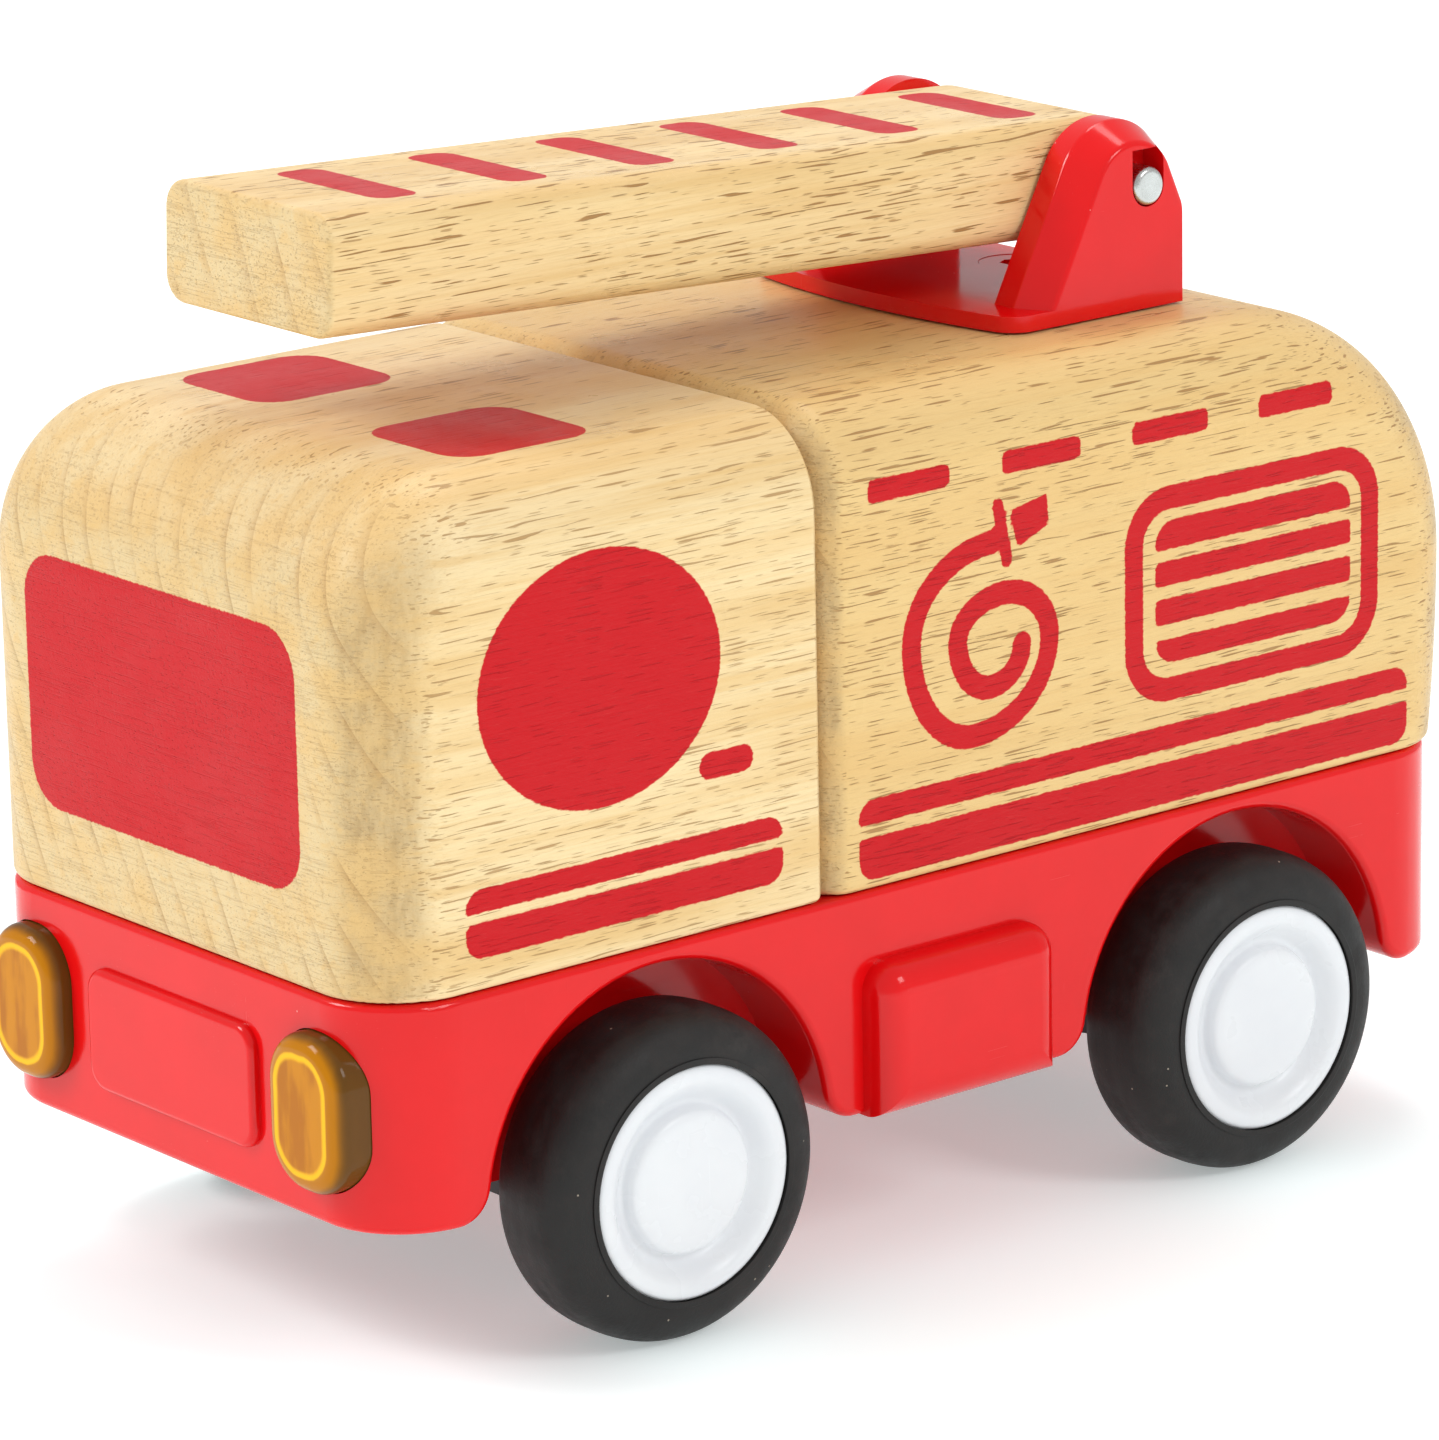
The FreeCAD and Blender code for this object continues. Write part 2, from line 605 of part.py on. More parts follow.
def bracket_ear(side):
    """One upright ear: a sloped front, a round top, a bevelled outer rim and the pin's slot."""
    inner = Vec(EAR_INNER_X, 0, 0)
    thick = BASE_HALF_W - EAR_INNER_X
    top_y = EAR_TOP_CENTRE_Y
    top_z = EAR_TOP_CENTRE_Z
    r = EAR_TOP_R
    foot = Vec(0, EAR_FOOT_Y, BASE_Z)
    dy = top_y - foot.y
    dz = top_z - foot.z
    reach = math.hypot(dy, dz)
    lean = math.atan2(dz, dy) + math.asin(r / reach)
    touch = Vec(0, top_y - r * math.sin(lean), top_z + r * math.cos(lean))
    crown = Vec(0, top_y, top_z + r)
    rear_top = Vec(0, BASE_REAR_Y, top_z + math.sqrt(r ** 2 - (BASE_REAR_Y - top_y) ** 2))
    rear_foot = Vec(0, BASE_REAR_Y, BASE_Z)
    outline = [
        Part.LineSegment(foot + inner, touch + inner).toShape(),
        Part.Arc(touch + inner, crown + inner, rear_top + inner).toShape(),
        Part.LineSegment(rear_top + inner, rear_foot + inner).toShape(),
        Part.LineSegment(rear_foot + inner, foot + inner).toShape(),
    ]
    ear = prism(outline, Vec(thick, 0, 0))
    rim = edges_where(
        ear,
        lambda m, b: near(m.x, BASE_HALF_W) and m.y < BASE_REAR_Y - NEAR and m.z > BASE_Z + NEAR,
    )
    ear = ear.makeChamfer(EAR_BEVEL_ACROSS, EAR_BEVEL_IN, rim)
    ridges = edges_where(
        ear,
        lambda m, b: (near(m.x, BASE_HALF_W) or near(m.x, BASE_HALF_W - EAR_BEVEL_ACROSS))
        and m.y < BASE_REAR_Y - EAR_BEVEL_IN / 2
        and m.z > BASE_Z + NEAR,
    )
    ear = ear.makeFillet(EAR_RIDGE_R, ridges)
    x0 = BASE_HALF_W - SLOT_DEPTH
    slot = box(x0, BASE_HALF_W + PAST, PIN_Y - SLOT_HALF_W, PIN_Y + SLOT_HALF_W, PIN_Z, SLOT_TOP)
    slot_foot = cylinder(SLOT_HALF_W, Vec(x0, PIN_Y, PIN_Z), Vec(BASE_HALF_W + PAST, PIN_Y, PIN_Z))
    pin_hole = cylinder(PIN_R + PRESS_GAP, Vec(0, PIN_Y, PIN_Z), Vec(BASE_HALF_W + PAST, PIN_Y, PIN_Z))
    ear = ear.cut([slot, slot_foot, pin_hole])
    if side < 0:
        ear = ear.mirror(Vec(0, 0, 0), X_AXIS)
    return ear


def ladder_bracket():
    """The moulded bracket: a base plate with two ears and a hole for the swivel screw."""
    bracket = bracket_base().fuse([bracket_ear(-1), bracket_ear(1)])
    seat_top = BASE_Z + BASE_T - SWIVEL_SINK
    mouth = cylinder(
        SWIVEL_HEAD_R + RUNNING_GAP, Vec(0, SWIVEL_Y, seat_top), Vec(0, SWIVEL_Y, seat_top + PAST)
    )
    return bracket.cut([countersunk(RUNNING_GAP), mouth]).removeSplitter()


def countersunk(gap):
    """The swivel screw's cone head and shank, grown by a gap: the screw's form or its seat."""
    top = BASE_Z + BASE_T - SWIVEL_SINK
    under = top - SWIVEL_HEAD_H
    cone = Part.makeCone(
        SWIVEL_R + gap, SWIVEL_HEAD_R + gap, SWIVEL_HEAD_H, Vec(0, SWIVEL_Y, under), Z_AXIS
    )
    tip = ROOF_Z - SWIVEL_LEN + PRESS_GAP
    shank = cylinder(SWIVEL_R + gap, Vec(0, SWIVEL_Y, tip), Vec(0, SWIVEL_Y, under))
    return cone.fuse(shank)


def swivel_screw():
    """The countersunk screw that the bracket turns on, driven down into the rear block."""
    top = BASE_Z + BASE_T - SWIVEL_SINK
    drive = hexagon(0, SWIVEL_Y, top).extrude(Vec(0, 0, -DRIVE_DEPTH))
    return countersunk(0).cut(drive).removeSplitter()


def ladder_pin():
    """The steel pin through both ears and the bar, with softly domed ends."""
    half = BASE_HALF_W + PIN_PROUD
    rod = cylinder(PIN_R, Vec(-half, PIN_Y, PIN_Z), Vec(half, PIN_Y, PIN_Z))
    return rod.makeFillet(PIN_EDGE_R, edges_where(rod, lambda m, b: b.XLength < NEAR))


def ladder_bar():
    """The wooden ladder bar, round at its hinge end, tilted up by its resting angle."""
    r = BAR_T / 2
    w = BAR_HALF_W
    front = -BAR_LEN
    outline = [
        Part.LineSegment(Vec(-w, 0, r), Vec(-w, front, r)).toShape(),
        Part.LineSegment(Vec(-w, front, r), Vec(-w, front, -r)).toShape(),
        Part.LineSegment(Vec(-w, front, -r), Vec(-w, 0, -r)).toShape(),
        Part.Arc(Vec(-w, 0, -r), Vec(-w, r, 0), Vec(-w, 0, r)).toShape(),
    ]
    bar = prism(outline, Vec(2 * w, 0, 0))
    long_edges = edges_where(
        bar, lambda m, b: near(abs(m.x), w) and b.XLength < NEAR and m.y > front + NEAR
    )
    bar = bar.makeFillet(BAR_EDGE_R, long_edges)
    end_edges = edges_where(bar, lambda m, b: near(m.y, front) and b.YLength < 2 * NEAR)
    bar = bar.makeFillet(BAR_END_R, end_edges)
    bore = cylinder(PIN_R + RUNNING_GAP, Vec(-w - PAST, 0, 0), Vec(w + PAST, 0, 0))
    bar = bar.cut(bore)
    bar.rotate(Vec(0, 0, 0), X_AXIS, -BAR_TILT)
    bar.translate(Vec(0, PIN_Y, PIN_Z))
    return bar


def build_parts():
    """Every node of the fire engine by name."""
    parts = {
        "chassis_shell": chassis_shell(),
        "cab_block": cab_block(),
        "rear_block": rear_block(),
        "cab_block_screws": block_screws(CAB_SCREW_YS),
        "rear_block_screws": block_screws(REAR_SCREW_YS),
        "left_headlamp_lens": lens_form(1, 0, LENS_EDGE_R, LENS_PROUD),
        "right_headlamp_lens": lens_form(-1, 0, LENS_EDGE_R, LENS_PROUD),
        "keeper_screws": keeper_screws(),
        "ladder_bracket": ladder_bracket(),
        "swivel_screw": swivel_screw(),
        "ladder_pin": ladder_pin(),
        "ladder_bar": ladder_bar(),
    }
    for end, axle_y in (("front", FRONT_AXLE_Y), ("rear", REAR_AXLE_Y)):
        parts[end + "_axle"] = axle(axle_y)
        parts[end + "_axle_keeper"] = axle_keeper(axle_y)
        for hand, side in (("left", 1), ("right", -1)):
            parts[end + "_" + hand + "_tyre"] = tyre(side, axle_y)
            parts[end + "_" + hand + "_hub"] = hub(side, axle_y)
    return parts


def main():
    """Writes one STEP file per node and prints what each one holds."""
    os.makedirs("parts", exist_ok=True)
    for name, shape in build_parts().items():
        shape.exportStep("parts/" + name + ".step")
        size = shape.BoundBox
        print(name, len(shape.Solids), "solids", shape.isValid(), round(shape.Volume, 1), size)


main()
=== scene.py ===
"""Visual model of a toy fire engine.

Beech blocks stand on a moulded chassis with four wheels, and a ladder swings and rises on top.
Lengths inside the classes are in millimetres and become metres when a mesh is made.
The vehicle faces -Y, its left side is +X, and it stands on the floor at z = 0.
"""
import logging
import math
from collections.abc import Callable, Sequence
from dataclasses import dataclass
from enum import Enum

import bmesh
import bpy
import numpy as np
from mathutils import Matrix, Vector


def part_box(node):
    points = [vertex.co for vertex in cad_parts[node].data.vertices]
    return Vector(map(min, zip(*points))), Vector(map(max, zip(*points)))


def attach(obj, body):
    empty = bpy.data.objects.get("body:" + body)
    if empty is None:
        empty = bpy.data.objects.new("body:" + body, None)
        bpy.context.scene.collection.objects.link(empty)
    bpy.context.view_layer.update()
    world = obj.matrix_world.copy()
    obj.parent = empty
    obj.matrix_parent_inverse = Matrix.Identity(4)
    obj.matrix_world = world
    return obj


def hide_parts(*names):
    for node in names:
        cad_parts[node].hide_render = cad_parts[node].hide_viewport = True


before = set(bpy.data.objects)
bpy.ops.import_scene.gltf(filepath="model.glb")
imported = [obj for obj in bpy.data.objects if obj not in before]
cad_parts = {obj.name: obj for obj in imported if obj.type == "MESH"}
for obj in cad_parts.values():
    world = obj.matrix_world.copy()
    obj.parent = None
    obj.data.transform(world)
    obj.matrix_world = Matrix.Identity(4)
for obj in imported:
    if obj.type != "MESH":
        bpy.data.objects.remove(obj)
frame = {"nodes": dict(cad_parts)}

Array = np.ndarray
Field = Callable[[Array], Array]
Shell = tuple[Array, Array]
Colour = tuple[float, float, float, float]
Material = bpy.types.Material
Object = bpy.types.Object
Socket = bpy.types.NodeSocket

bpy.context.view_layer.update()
LOG = logging.getLogger("fire_engine")
MM = 0.001
WELD_M = 0.000001  # points closer than this are one point
FINE_STEPS = (0.0, 0.2, 0.42, 0.68)  # grid lines in a fine edge strip, as shares of its width
END_GAIN, END_START = 1.6, 0.45  # how soon a turning surface shows end grain


class Side(Enum):
    """The two sides of the vehicle."""

    LEFT = "left"
    RIGHT = "right"


class Axle(Enum):
    """The two axles."""

    FRONT = "front"
    REAR = "rear"


class Body(Enum):
    """The rigid bodies that new pieces ride on."""

    CHASSIS = "chassis"
    FRONT_WHEELS = "front_wheels"
    REAR_WHEELS = "rear_wheels"
    LADDER = "ladder"


# ---- forms


def box_mm(node: str) -> tuple[Array, Array]:
    """The lowest and highest corners of one frame node, in millimetres."""
    low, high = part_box(node)
    return np.array(low) / MM, np.array(high) / MM


def round_join(a: Array, b: Array, radius: float) -> Array:
    """Distance to the overlap of two solids whose shared edge is rounded.

    The larger of the two distances away from the edge, and near it the distance to a circle of
    the radius that touches both faces.

    Args:
        a: distance to the first solid.
        b: distance to the second solid.
        radius: edge radius.

    Returns:
        The joined distance.
    """
    pa = a + radius
    pb = b + radius
    outer = np.hypot(np.maximum(pa, 0.0), np.maximum(pb, 0.0))
    return outer + np.minimum(np.maximum(pa, pb), 0.0) - radius


def round_rect(a: Array, b: Array, box: Sequence[float], radius: float) -> Array:
    """Distance in a plane to a rectangle with rounded corners.

    Args:
        a: first coordinate.
        b: second coordinate.
        box: (a low, a high, b low, b high).
        radius: corner radius.

    Returns:
        The distance, negative inside.
    """
    a0, a1, b0, b1 = box
    qa = np.abs(a - (a0 + a1) / 2) - (a1 - a0) / 2
    qb = np.abs(b - (b0 + b1) / 2) - (b1 - b0) / 2
    return round_join(qa, qb, radius)


def gradient(points: Array, field: Field, step: float = 0.01) -> Array:
    """Slope of a distance field by central differences along each axis.

    Args:
        points: positions, one per row.
        field: the distance field.
        step: half the width of each difference.

    Returns:
        One slope vector per row.
    """
    slope = np.empty_like(points)
    for axis in range(3):
        shift = np.zeros(3)
        shift[axis] = step
        slope[:, axis] = (field(points + shift) - field(points - shift)) / (2 * step)
    return slope


def settle(points: Array, field: Field, rounds: int = 9, least: float = 0.05) -> Array:
    """Slides points on to the zero surface of a distance field.

    Each round moves a point against the field's slope by the distance over the slope's length.

    Args:
        points: starting positions, one per row.
        field: the distance field.
        rounds: how many times the points move.
        least: smallest squared slope that is divided by.

    Returns:
        The settled positions.
    """
    moved = points.copy()
    for _ in range(rounds):
        slope = gradient(moved, field)
        weight = field(moved) / np.maximum((slope**2).sum(1), least)
        moved -= slope * weight[:, None]
    return moved


def graded(low: float, high: float, pitch: float, edge: float = 0.8) -> Array:
    """Grid lines between two ends, at an even pitch but closer together near both ends.

    Args:
        low: first line.
        high: last line.
        pitch: spacing in the middle.
        edge: width of the finer strip at each end.

    Returns:
        The line positions.
    """
    strip = edge * np.array(FINE_STEPS)
    count = max(2, int(round((high - low - 2 * edge) / pitch)))
    middle = np.linspace(low + edge, high - edge, count + 1)
    return np.concatenate([low + strip, middle, high - strip[::-1]])


def box_shell(xs: Array, ys: Array, zs: Array) -> Shell:
    """The closed surface of a box as one grid on each of its six faces, sharing their edges.

    Args:
        xs: grid lines along x.
        ys: grid lines along y.
        zs: grid lines along z.

    Returns:
        The points and the four sided faces, outward.
    """
    shape = (len(xs), len(ys), len(zs))
    shell = np.ones(shape, bool)
    shell[1:-1, 1:-1, 1:-1] = False
    index = np.full(shape, -1)
    index[shell] = np.arange(shell.sum())
    grid = np.stack(np.meshgrid(xs, ys, zs, indexing="ij"), -1)
    faces = []
    for sheet, flip in (
        (index[-1], False),
        (index[0], True),
        (index[:, 0], False),
        (index[:, -1], True),
        (index[:, :, -1], False),
        (index[:, :, 0], True),
    ):
        quads = np.stack([sheet[:-1, :-1], sheet[1:, :-1], sheet[1:, 1:], sheet[:-1, 1:]], -1)
        quads = quads.reshape(-1, 4)
        faces.append(quads[:, ::-1] if flip else quads)
    return grid[shell], np.concatenate(faces)


def rounded_solid(low: Sequence, high: Sequence, pitches: Sequence, field: Field) -> Shell:
    """A box's grid, settled on to the form that a distance field describes.

    Args:
        low: the box's lowest corner.
        high: the box's highest corner.
        pitches: grid spacing along x, y and z.
        field: the form's distance field.

    Returns:
        The points and the four sided faces, outward.
    """
    points, faces = box_shell(*(graded(*ends) for ends in zip(low, high, pitches)))
    return settle(points, field), faces


def smooth_line(points: Sequence[tuple[float, float]], per_span: int) -> Array:
    """A smooth line through points: on each span, the cubic whose end slopes are half the
    difference of the neighbouring points.

    Args:
        points: the points in order.
        per_span: samples on each span.

    Returns:
        The sampled line.
    """
    p = np.array(points, float)
    padded = np.vstack([2 * p[0] - p[1], p, 2 * p[-1] - p[-2]])
    t = np.linspace(0.0, 1.0, per_span, endpoint=False)[None, :, None]
    a, b, c, d = (padded[k : len(padded) - 3 + k][:, None, :] for k in range(4))
    square = a - 2.5 * b + 2 * c - d / 2
    cube = 1.5 * (b - c) + (d - a) / 2
    line = b + t * (c - a) / 2 + t**2 * square + t**3 * cube
    return np.vstack([line.reshape(-1, 2), p[-1]])


def turned(profile: Array, turns: int) -> Shell:
    """A surface of revolution round X.

    Each profile point goes to its radius times the cosine and sine of each step of the turn.

    Args:
        profile: closed loop or pole to pole line of (x, radius) rows, from low to high x outside.
        turns: steps round the axis.

    Returns:
        The points and the four sided faces, outward.
    """
    angle = np.arange(turns) * (2 * math.pi / turns)
    x = np.repeat(profile[:, 0][:, None], turns, 1)
    y = profile[:, 1][:, None] * np.cos(angle)
    z = profile[:, 1][:, None] * np.sin(angle)
    points = np.stack([x, y, z], -1).reshape(-1, 3)
    ring = np.arange(len(profile))[:, None] * turns
    here = np.arange(turns)[None, :]
    beside = (here + 1) % turns
    low, high = ring[:-1], ring[1:]
    faces = np.stack([low + here, high + here, high + beside, low + beside], -1).reshape(-1, 4)
    return points, faces[:, ::-1]


def end_grain(slope: Array) -> Array:
    """How much end grain a surface shows, from 0 to 1, as its normal turns along the fibres."""
    return np.clip(slope * END_GAIN - END_START, 0.0, 1.0)


def painted_corner_shade(a: Array, b: Array) -> Array:
    """Painted shade on rounded edges, strongest at an edge's middle: twice the product of its
    normal's two parts.
    """
    return np.clip(2 * np.abs(a * b), 0.0, 1.0)


@dataclass
class Piece:
    """One finished object of the vehicle, the body it rides on and the frame node it stands for."""

    name: str
    shell: Shell
    finish: Material
    body: Body
    stands_for: str
    values: dict[str, Array] | None = None

    def place(self) -> Object:
        """Makes the mesh with its point values, hangs it on its body's empty and hides the frame
        node it stands for.

        Returns:
            The new object.
        """
        points, faces = self.shell
        mesh = bpy.data.meshes.new(self.name)
        mesh.from_pydata((points * MM).tolist(), [], faces.tolist())
        for key, value in (self.values or {}).items():
            layer = mesh.attributes.new(key, "FLOAT", "POINT")
            layer.data.foreach_set("value", value.astype(np.float32))
        mesh.polygons.foreach_set("use_smooth", np.ones(len(mesh.polygons), bool))
        mesh.materials.append(self.finish)
        mesh.update()
        obj = bpy.data.objects.new(self.name, mesh)
        bpy.context.scene.collection.objects.link(obj)
        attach(obj, self.body.value)
        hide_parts(self.stands_for)
        LOG.info("%s: %d points, rides on %s", self.name, len(points), self.body.value)
        return obj


# ---- node trees


class Graph:
    """A node tree under construction, with short calls for the nodes used again and again."""

    def __init__(self, tree: bpy.types.NodeTree) -> None:
        """Keeps the tree that nodes are added to."""
        self.tree = tree

    def add(self, kind: str, inputs: dict | None = None, **settings: object) -> bpy.types.Node:
        """Adds a node.

        Args:
            kind: the node's type name without its ShaderNode prefix.
            inputs: values or sockets by input name or number.
            **settings: properties of the node.

        Returns:
            The node.
        """
        node = self.tree.nodes.new("ShaderNode" + kind)
        for key, value in settings.items():
            setattr(node, key, value)
        for key, value in (inputs or {}).items():
            if isinstance(value, Socket):
                self.tree.links.new(value, node.inputs[key])
            else:
                node.inputs[key].default_value = value
        return node

    def math(self, operation: str, a: object, b: object) -> Socket:
        """The result of one arithmetic step on two values or sockets."""
        return self.add("Math", {0: a, 1: b}, operation=operation).outputs[0]

    def plus(self, a: object, b: object) -> Socket:
        """The sum of two."""
        return self.math("ADD", a, b)

    def minus(self, a: object, b: object) -> Socket:
        """The first less the second."""
        return self.math("SUBTRACT", a, b)

    def times(self, a: object, b: object) -> Socket:
        """The product of two."""
        return self.math("MULTIPLY", a, b)

    def ramp(
        self, value: Socket, low: float, high: float, start: float = 0.0, end: float = 1.0
    ) -> Socket:
        """A smooth step from start to end while value goes from low to high."""
        inputs = {"Value": value, "From Min": low, "From Max": high, "To Min": start, "To Max": end}
        return self.add("MapRange", inputs, interpolation_type="SMOOTHSTEP").outputs[0]

    def blend(self, factor: object, a: object, b: object) -> Socket:
        """A mix of two colours."""
        return self.add("Mix", {0: factor, 6: a, 7: b}, data_type="RGBA").outputs[2]

    def noise(
        self,
        vector: Socket,
        scale: object,
        detail: float = 2.0,
        rough: float = 0.5,
        turn: Sequence[float] = (0, 0, 0),
    ) -> Socket:
        """Soft noise from 0 to 1.

        Args:
            vector: coordinates.
            scale: one scale, or a tuple with one along each axis.
            detail: how many finer layers it has.
            rough: how strong the finer layers are.
            turn: how far the coordinates are turned before a tuple stretches them.

        Returns:
            The noise.
        """
        if isinstance(scale, tuple):
            inputs = {"Vector": vector, "Scale": scale, "Rotation": turn}
            vector, scale = self.add("Mapping", inputs).outputs[0], 1.0
        inputs = {"Vector": vector, "Scale": scale, "Detail": detail, "Roughness": rough}
        return self.add("TexNoise", inputs).outputs[0]

    def attribute(self, name: str) -> Socket:
        """A value that the mesh keeps on its points."""
        return self.add("Attribute", attribute_name=name).outputs["Fac"]

    def bump(self, height: Socket, depth: float) -> Socket:
        """A normal from a height, with its depth in metres."""
        return self.add("Bump", {"Height": height, "Distance": depth}).outputs[0]


class Effect:
    """A shader node group that several finishes share, with named inputs and outputs."""

    def __init__(self, name: str, inputs: dict[str, object], outputs: dict[str, str]) -> None:
        """Makes the group's sockets.

        Args:
            name: the group's name.
            inputs: default value by input name; a tuple of four is a colour, None is a vector.
            outputs: socket type word by output name.
        """
        self.tree = bpy.data.node_groups.new(name, "ShaderNodeTree")
        make = self.tree.interface.new_socket
        for key, value in inputs.items():
            kind = "Vector" if value is None else "Color" if isinstance(value, tuple) else "Float"
            socket = make(name=key, in_out="INPUT", socket_type="NodeSocket" + kind)
            if value is not None:
                socket.default_value = value
        for key, kind in outputs.items():
            make(name=key, in_out="OUTPUT", socket_type="NodeSocket" + kind)
        self.graph = Graph(self.tree)
        self.start = self.tree.nodes.new("NodeGroupInput").outputs
        self.end = self.tree.nodes.new("NodeGroupOutput").inputs

    def give(self, name: str, socket: Socket) -> None:
        """Sends a socket to one of the group's outputs."""
        self.tree.links.new(socket, self.end[name])

    def use(self, graph: Graph, inputs: dict[str, object]) -> dict[str, Socket]:
        """Places the group in a material's tree with its own values, and gives its outputs."""
        outputs = graph.add("Group", inputs, node_tree=self.tree).outputs
        return {socket.name: socket for socket in outputs}


def beech_effect() -> Effect:
    """Beech: faint rings on the ends, silky fibres along Y, honey streaks and short dark dashes.

    A ring's phase is the distance along a slanted direction in the XZ plane, bent by soft noise, so
    the bands run along Y on the sides and slant across the ends. Dashes are the peaks of noise
    stretched along Y. Fine crossed scratches from sanding lie across the ends.

    Returns:
        The group.
    """
    effect = Effect(
        "Beech grain",
        {
            "Position": None,
            "Light wood": (1, 1, 1, 1),
            "Ring wood": (1, 1, 1, 1),
            "Fleck wood": (1, 1, 1, 1),
            "Ring pitch": 3.0,
            "Waviness": 3.0,
            "End grain": 0.0,
            "Flecks": 1.0,
        },
        {"Color": "Color", "Height": "Float", "Fleck": "Float"},
    )
    g = effect.graph
    place = effect.start["Position"]
    end = effect.start["End grain"]

    parts = g.add("SeparateXYZ", {0: place}).outputs
    slant = g.plus(g.times(parts["X"], 0.88), g.times(parts["Z"], 0.47))
    drift = g.noise(place, (0.05, 0.01, 0.05), 1.0)
    along = g.plus(slant, g.times(drift, effect.start["Waviness"]))
    phase = g.math("FRACT", g.math("DIVIDE", along, effect.start["Ring pitch"]), 0.0)
    ring_depth = g.ramp(g.noise(place, (0.25, 0.04, 0.12)), 0.35, 0.7, 0.2, 1.0)
    ring = g.times(g.math("POWER", phase, 7.0), ring_depth)

    fibre = g.noise(place, (3.2, 0.06, 3.2), 5.0, 0.7)
    silk = g.noise(place, (9.0, 0.35, 9.0))
    tone = g.noise(place, (0.22, 0.012, 0.22), 3.0)
    streak = g.noise(place, (0.55, 0.02, 0.7))

    long_dash = g.noise(place, (2.6, 0.2, 5.0), 0.0)
    short_dash = g.noise(place, (5.5, 0.42, 8.0), 0.0)
    crowd = g.ramp(g.noise(place, (0.12, 0.04, 0.12), 1.0), 0.35, 0.65, -0.025, 0.03)
    bold = g.ramp(g.plus(long_dash, crowd), 0.70, 0.76)
    fine = g.ramp(g.plus(short_dash, crowd), 0.715, 0.8, 0.0, 0.7)
    fleck = g.times(g.math("MAXIMUM", bold, fine), effect.start["Flecks"])

    one_way = g.noise(place, (0.22, 1.0, 7.0), turn=(0.0, 0.75, 0.0))
    other_way = g.noise(place, (0.18, 1.0, 8.0), turn=(0.0, -0.62, 0.0))
    crossed = g.math("MAXIMUM", g.ramp(one_way, 0.58, 0.72), g.ramp(other_way, 0.6, 0.72))
    crossed = g.times(crossed, end)

    colour = effect.start["Light wood"]
    ring_wood = effect.start["Ring wood"]
    fleck_wood = effect.start["Fleck wood"]
    for amount, wood in (
        (g.ramp(tone, 0.35, 0.7, 0.0, 0.8), ring_wood),
        (g.ramp(streak, 0.56, 0.72, 0.0, 0.55), ring_wood),
        (g.ramp(fibre, 0.42, 0.78, 0.0, 0.5), ring_wood),
        (g.ramp(silk, 0.48, 0.8, 0.0, 0.2), fleck_wood),
        (g.times(crossed, 0.18), fleck_wood),
        (g.times(ring, g.ramp(end, 0.0, 1.0, 0.06, 0.6)), fleck_wood),
        (g.times(fleck, g.ramp(end, 0.0, 0.5, 0.75, 0.14)), fleck_wood),
    ):
        colour = g.blend(amount, colour, wood)
    height = g.times(fibre, 0.7)
    for dip, depth in ((fleck, 0.6), (crossed, 0.35), (ring, 0.2)):
        height = g.minus(height, g.times(dip, depth))
    effect.give("Color", colour)
    effect.give("Height", height)
    effect.give("Fleck", fleck)
    return effect


def ink_effect() -> Effect:
    """Printed ink: full inside the print's outline, with an edge that follows the wood's fibres.

    Returns:
        The group.
    """
    effect = Effect(
        "Printed ink",
        {"Position": None, "Distance": 0.0, "Ragged": 0.14},
        {"Mask": "Float", "Thin": "Float"},
    )
    g = effect.graph
    place = effect.start["Position"]
    rag = g.noise(place, (3.4, 1.3, 3.4), 3.0)
    shift = g.times(g.minus(rag, 0.5), g.times(effect.start["Ragged"], 2.0))
    mask = g.ramp(g.plus(effect.start["Distance"], shift), -0.07, 0.07, 1.0, 0.0)
    strands = g.noise(place, (9.0, 0.5, 9.0), 3.0, 0.7, (0.0, 0.0, 0.4))
    effect.give("Thin", g.times(g.ramp(strands, 0.56, 0.82, 0.0, 0.55), mask))
    effect.give("Mask", mask)
    return effect


def dust_effect() -> Effect:
    """Dust: small round specks in a few of the cells of a cell pattern.

    Returns:
        The group.
    """
    inputs = {"Position": None, "Density": 0.12, "Size": 0.1}
    effect = Effect("Dust specks", inputs, {"Mask": "Float"})
    g = effect.graph
    cells = g.add("TexVoronoi", {"Vector": effect.start["Position"], "Scale": 0.75})
    shade = g.add("SeparateColor", {0: cells.outputs["Color"]}).outputs[0]
    chosen = g.math("LESS_THAN", shade, effect.start["Density"])
    close = g.math("LESS_THAN", cells.outputs["Distance"], effect.start["Size"])
    effect.give("Mask", g.times(chosen, close))
    return effect


def handling_effect() -> Effect:
    """Handling marks: a cloudy variation of gloss with a few hair thin scratches across it.

    Returns:
        The group.
    """
    effect = Effect("Handling marks", {"Position": None}, {"Cloud": "Float", "Scratch": "Float"})
    g = effect.graph
    place = effect.start["Position"]
    effect.give("Cloud", g.noise(place, (0.11, 0.11, 0.11), 4.0, 0.6))
    one_way = g.noise(place, (9.0, 0.08, 9.0), 0.0, turn=(0.5, 0.3, 0.9))
    other_way = g.noise(place, (8.0, 8.0, 0.1), 0.0, turn=(0.3, 0.6, 0.2))
    hairs = g.math("MAXIMUM", g.ramp(one_way, 0.79, 0.85), g.ramp(other_way, 0.81, 0.86))
    effect.give("Scratch", hairs)
    return effect


@dataclass
class Effects:
    """The shared node groups."""

    beech: Effect
    ink: Effect
    dust: Effect
    handling: Effect


# ---- finishes


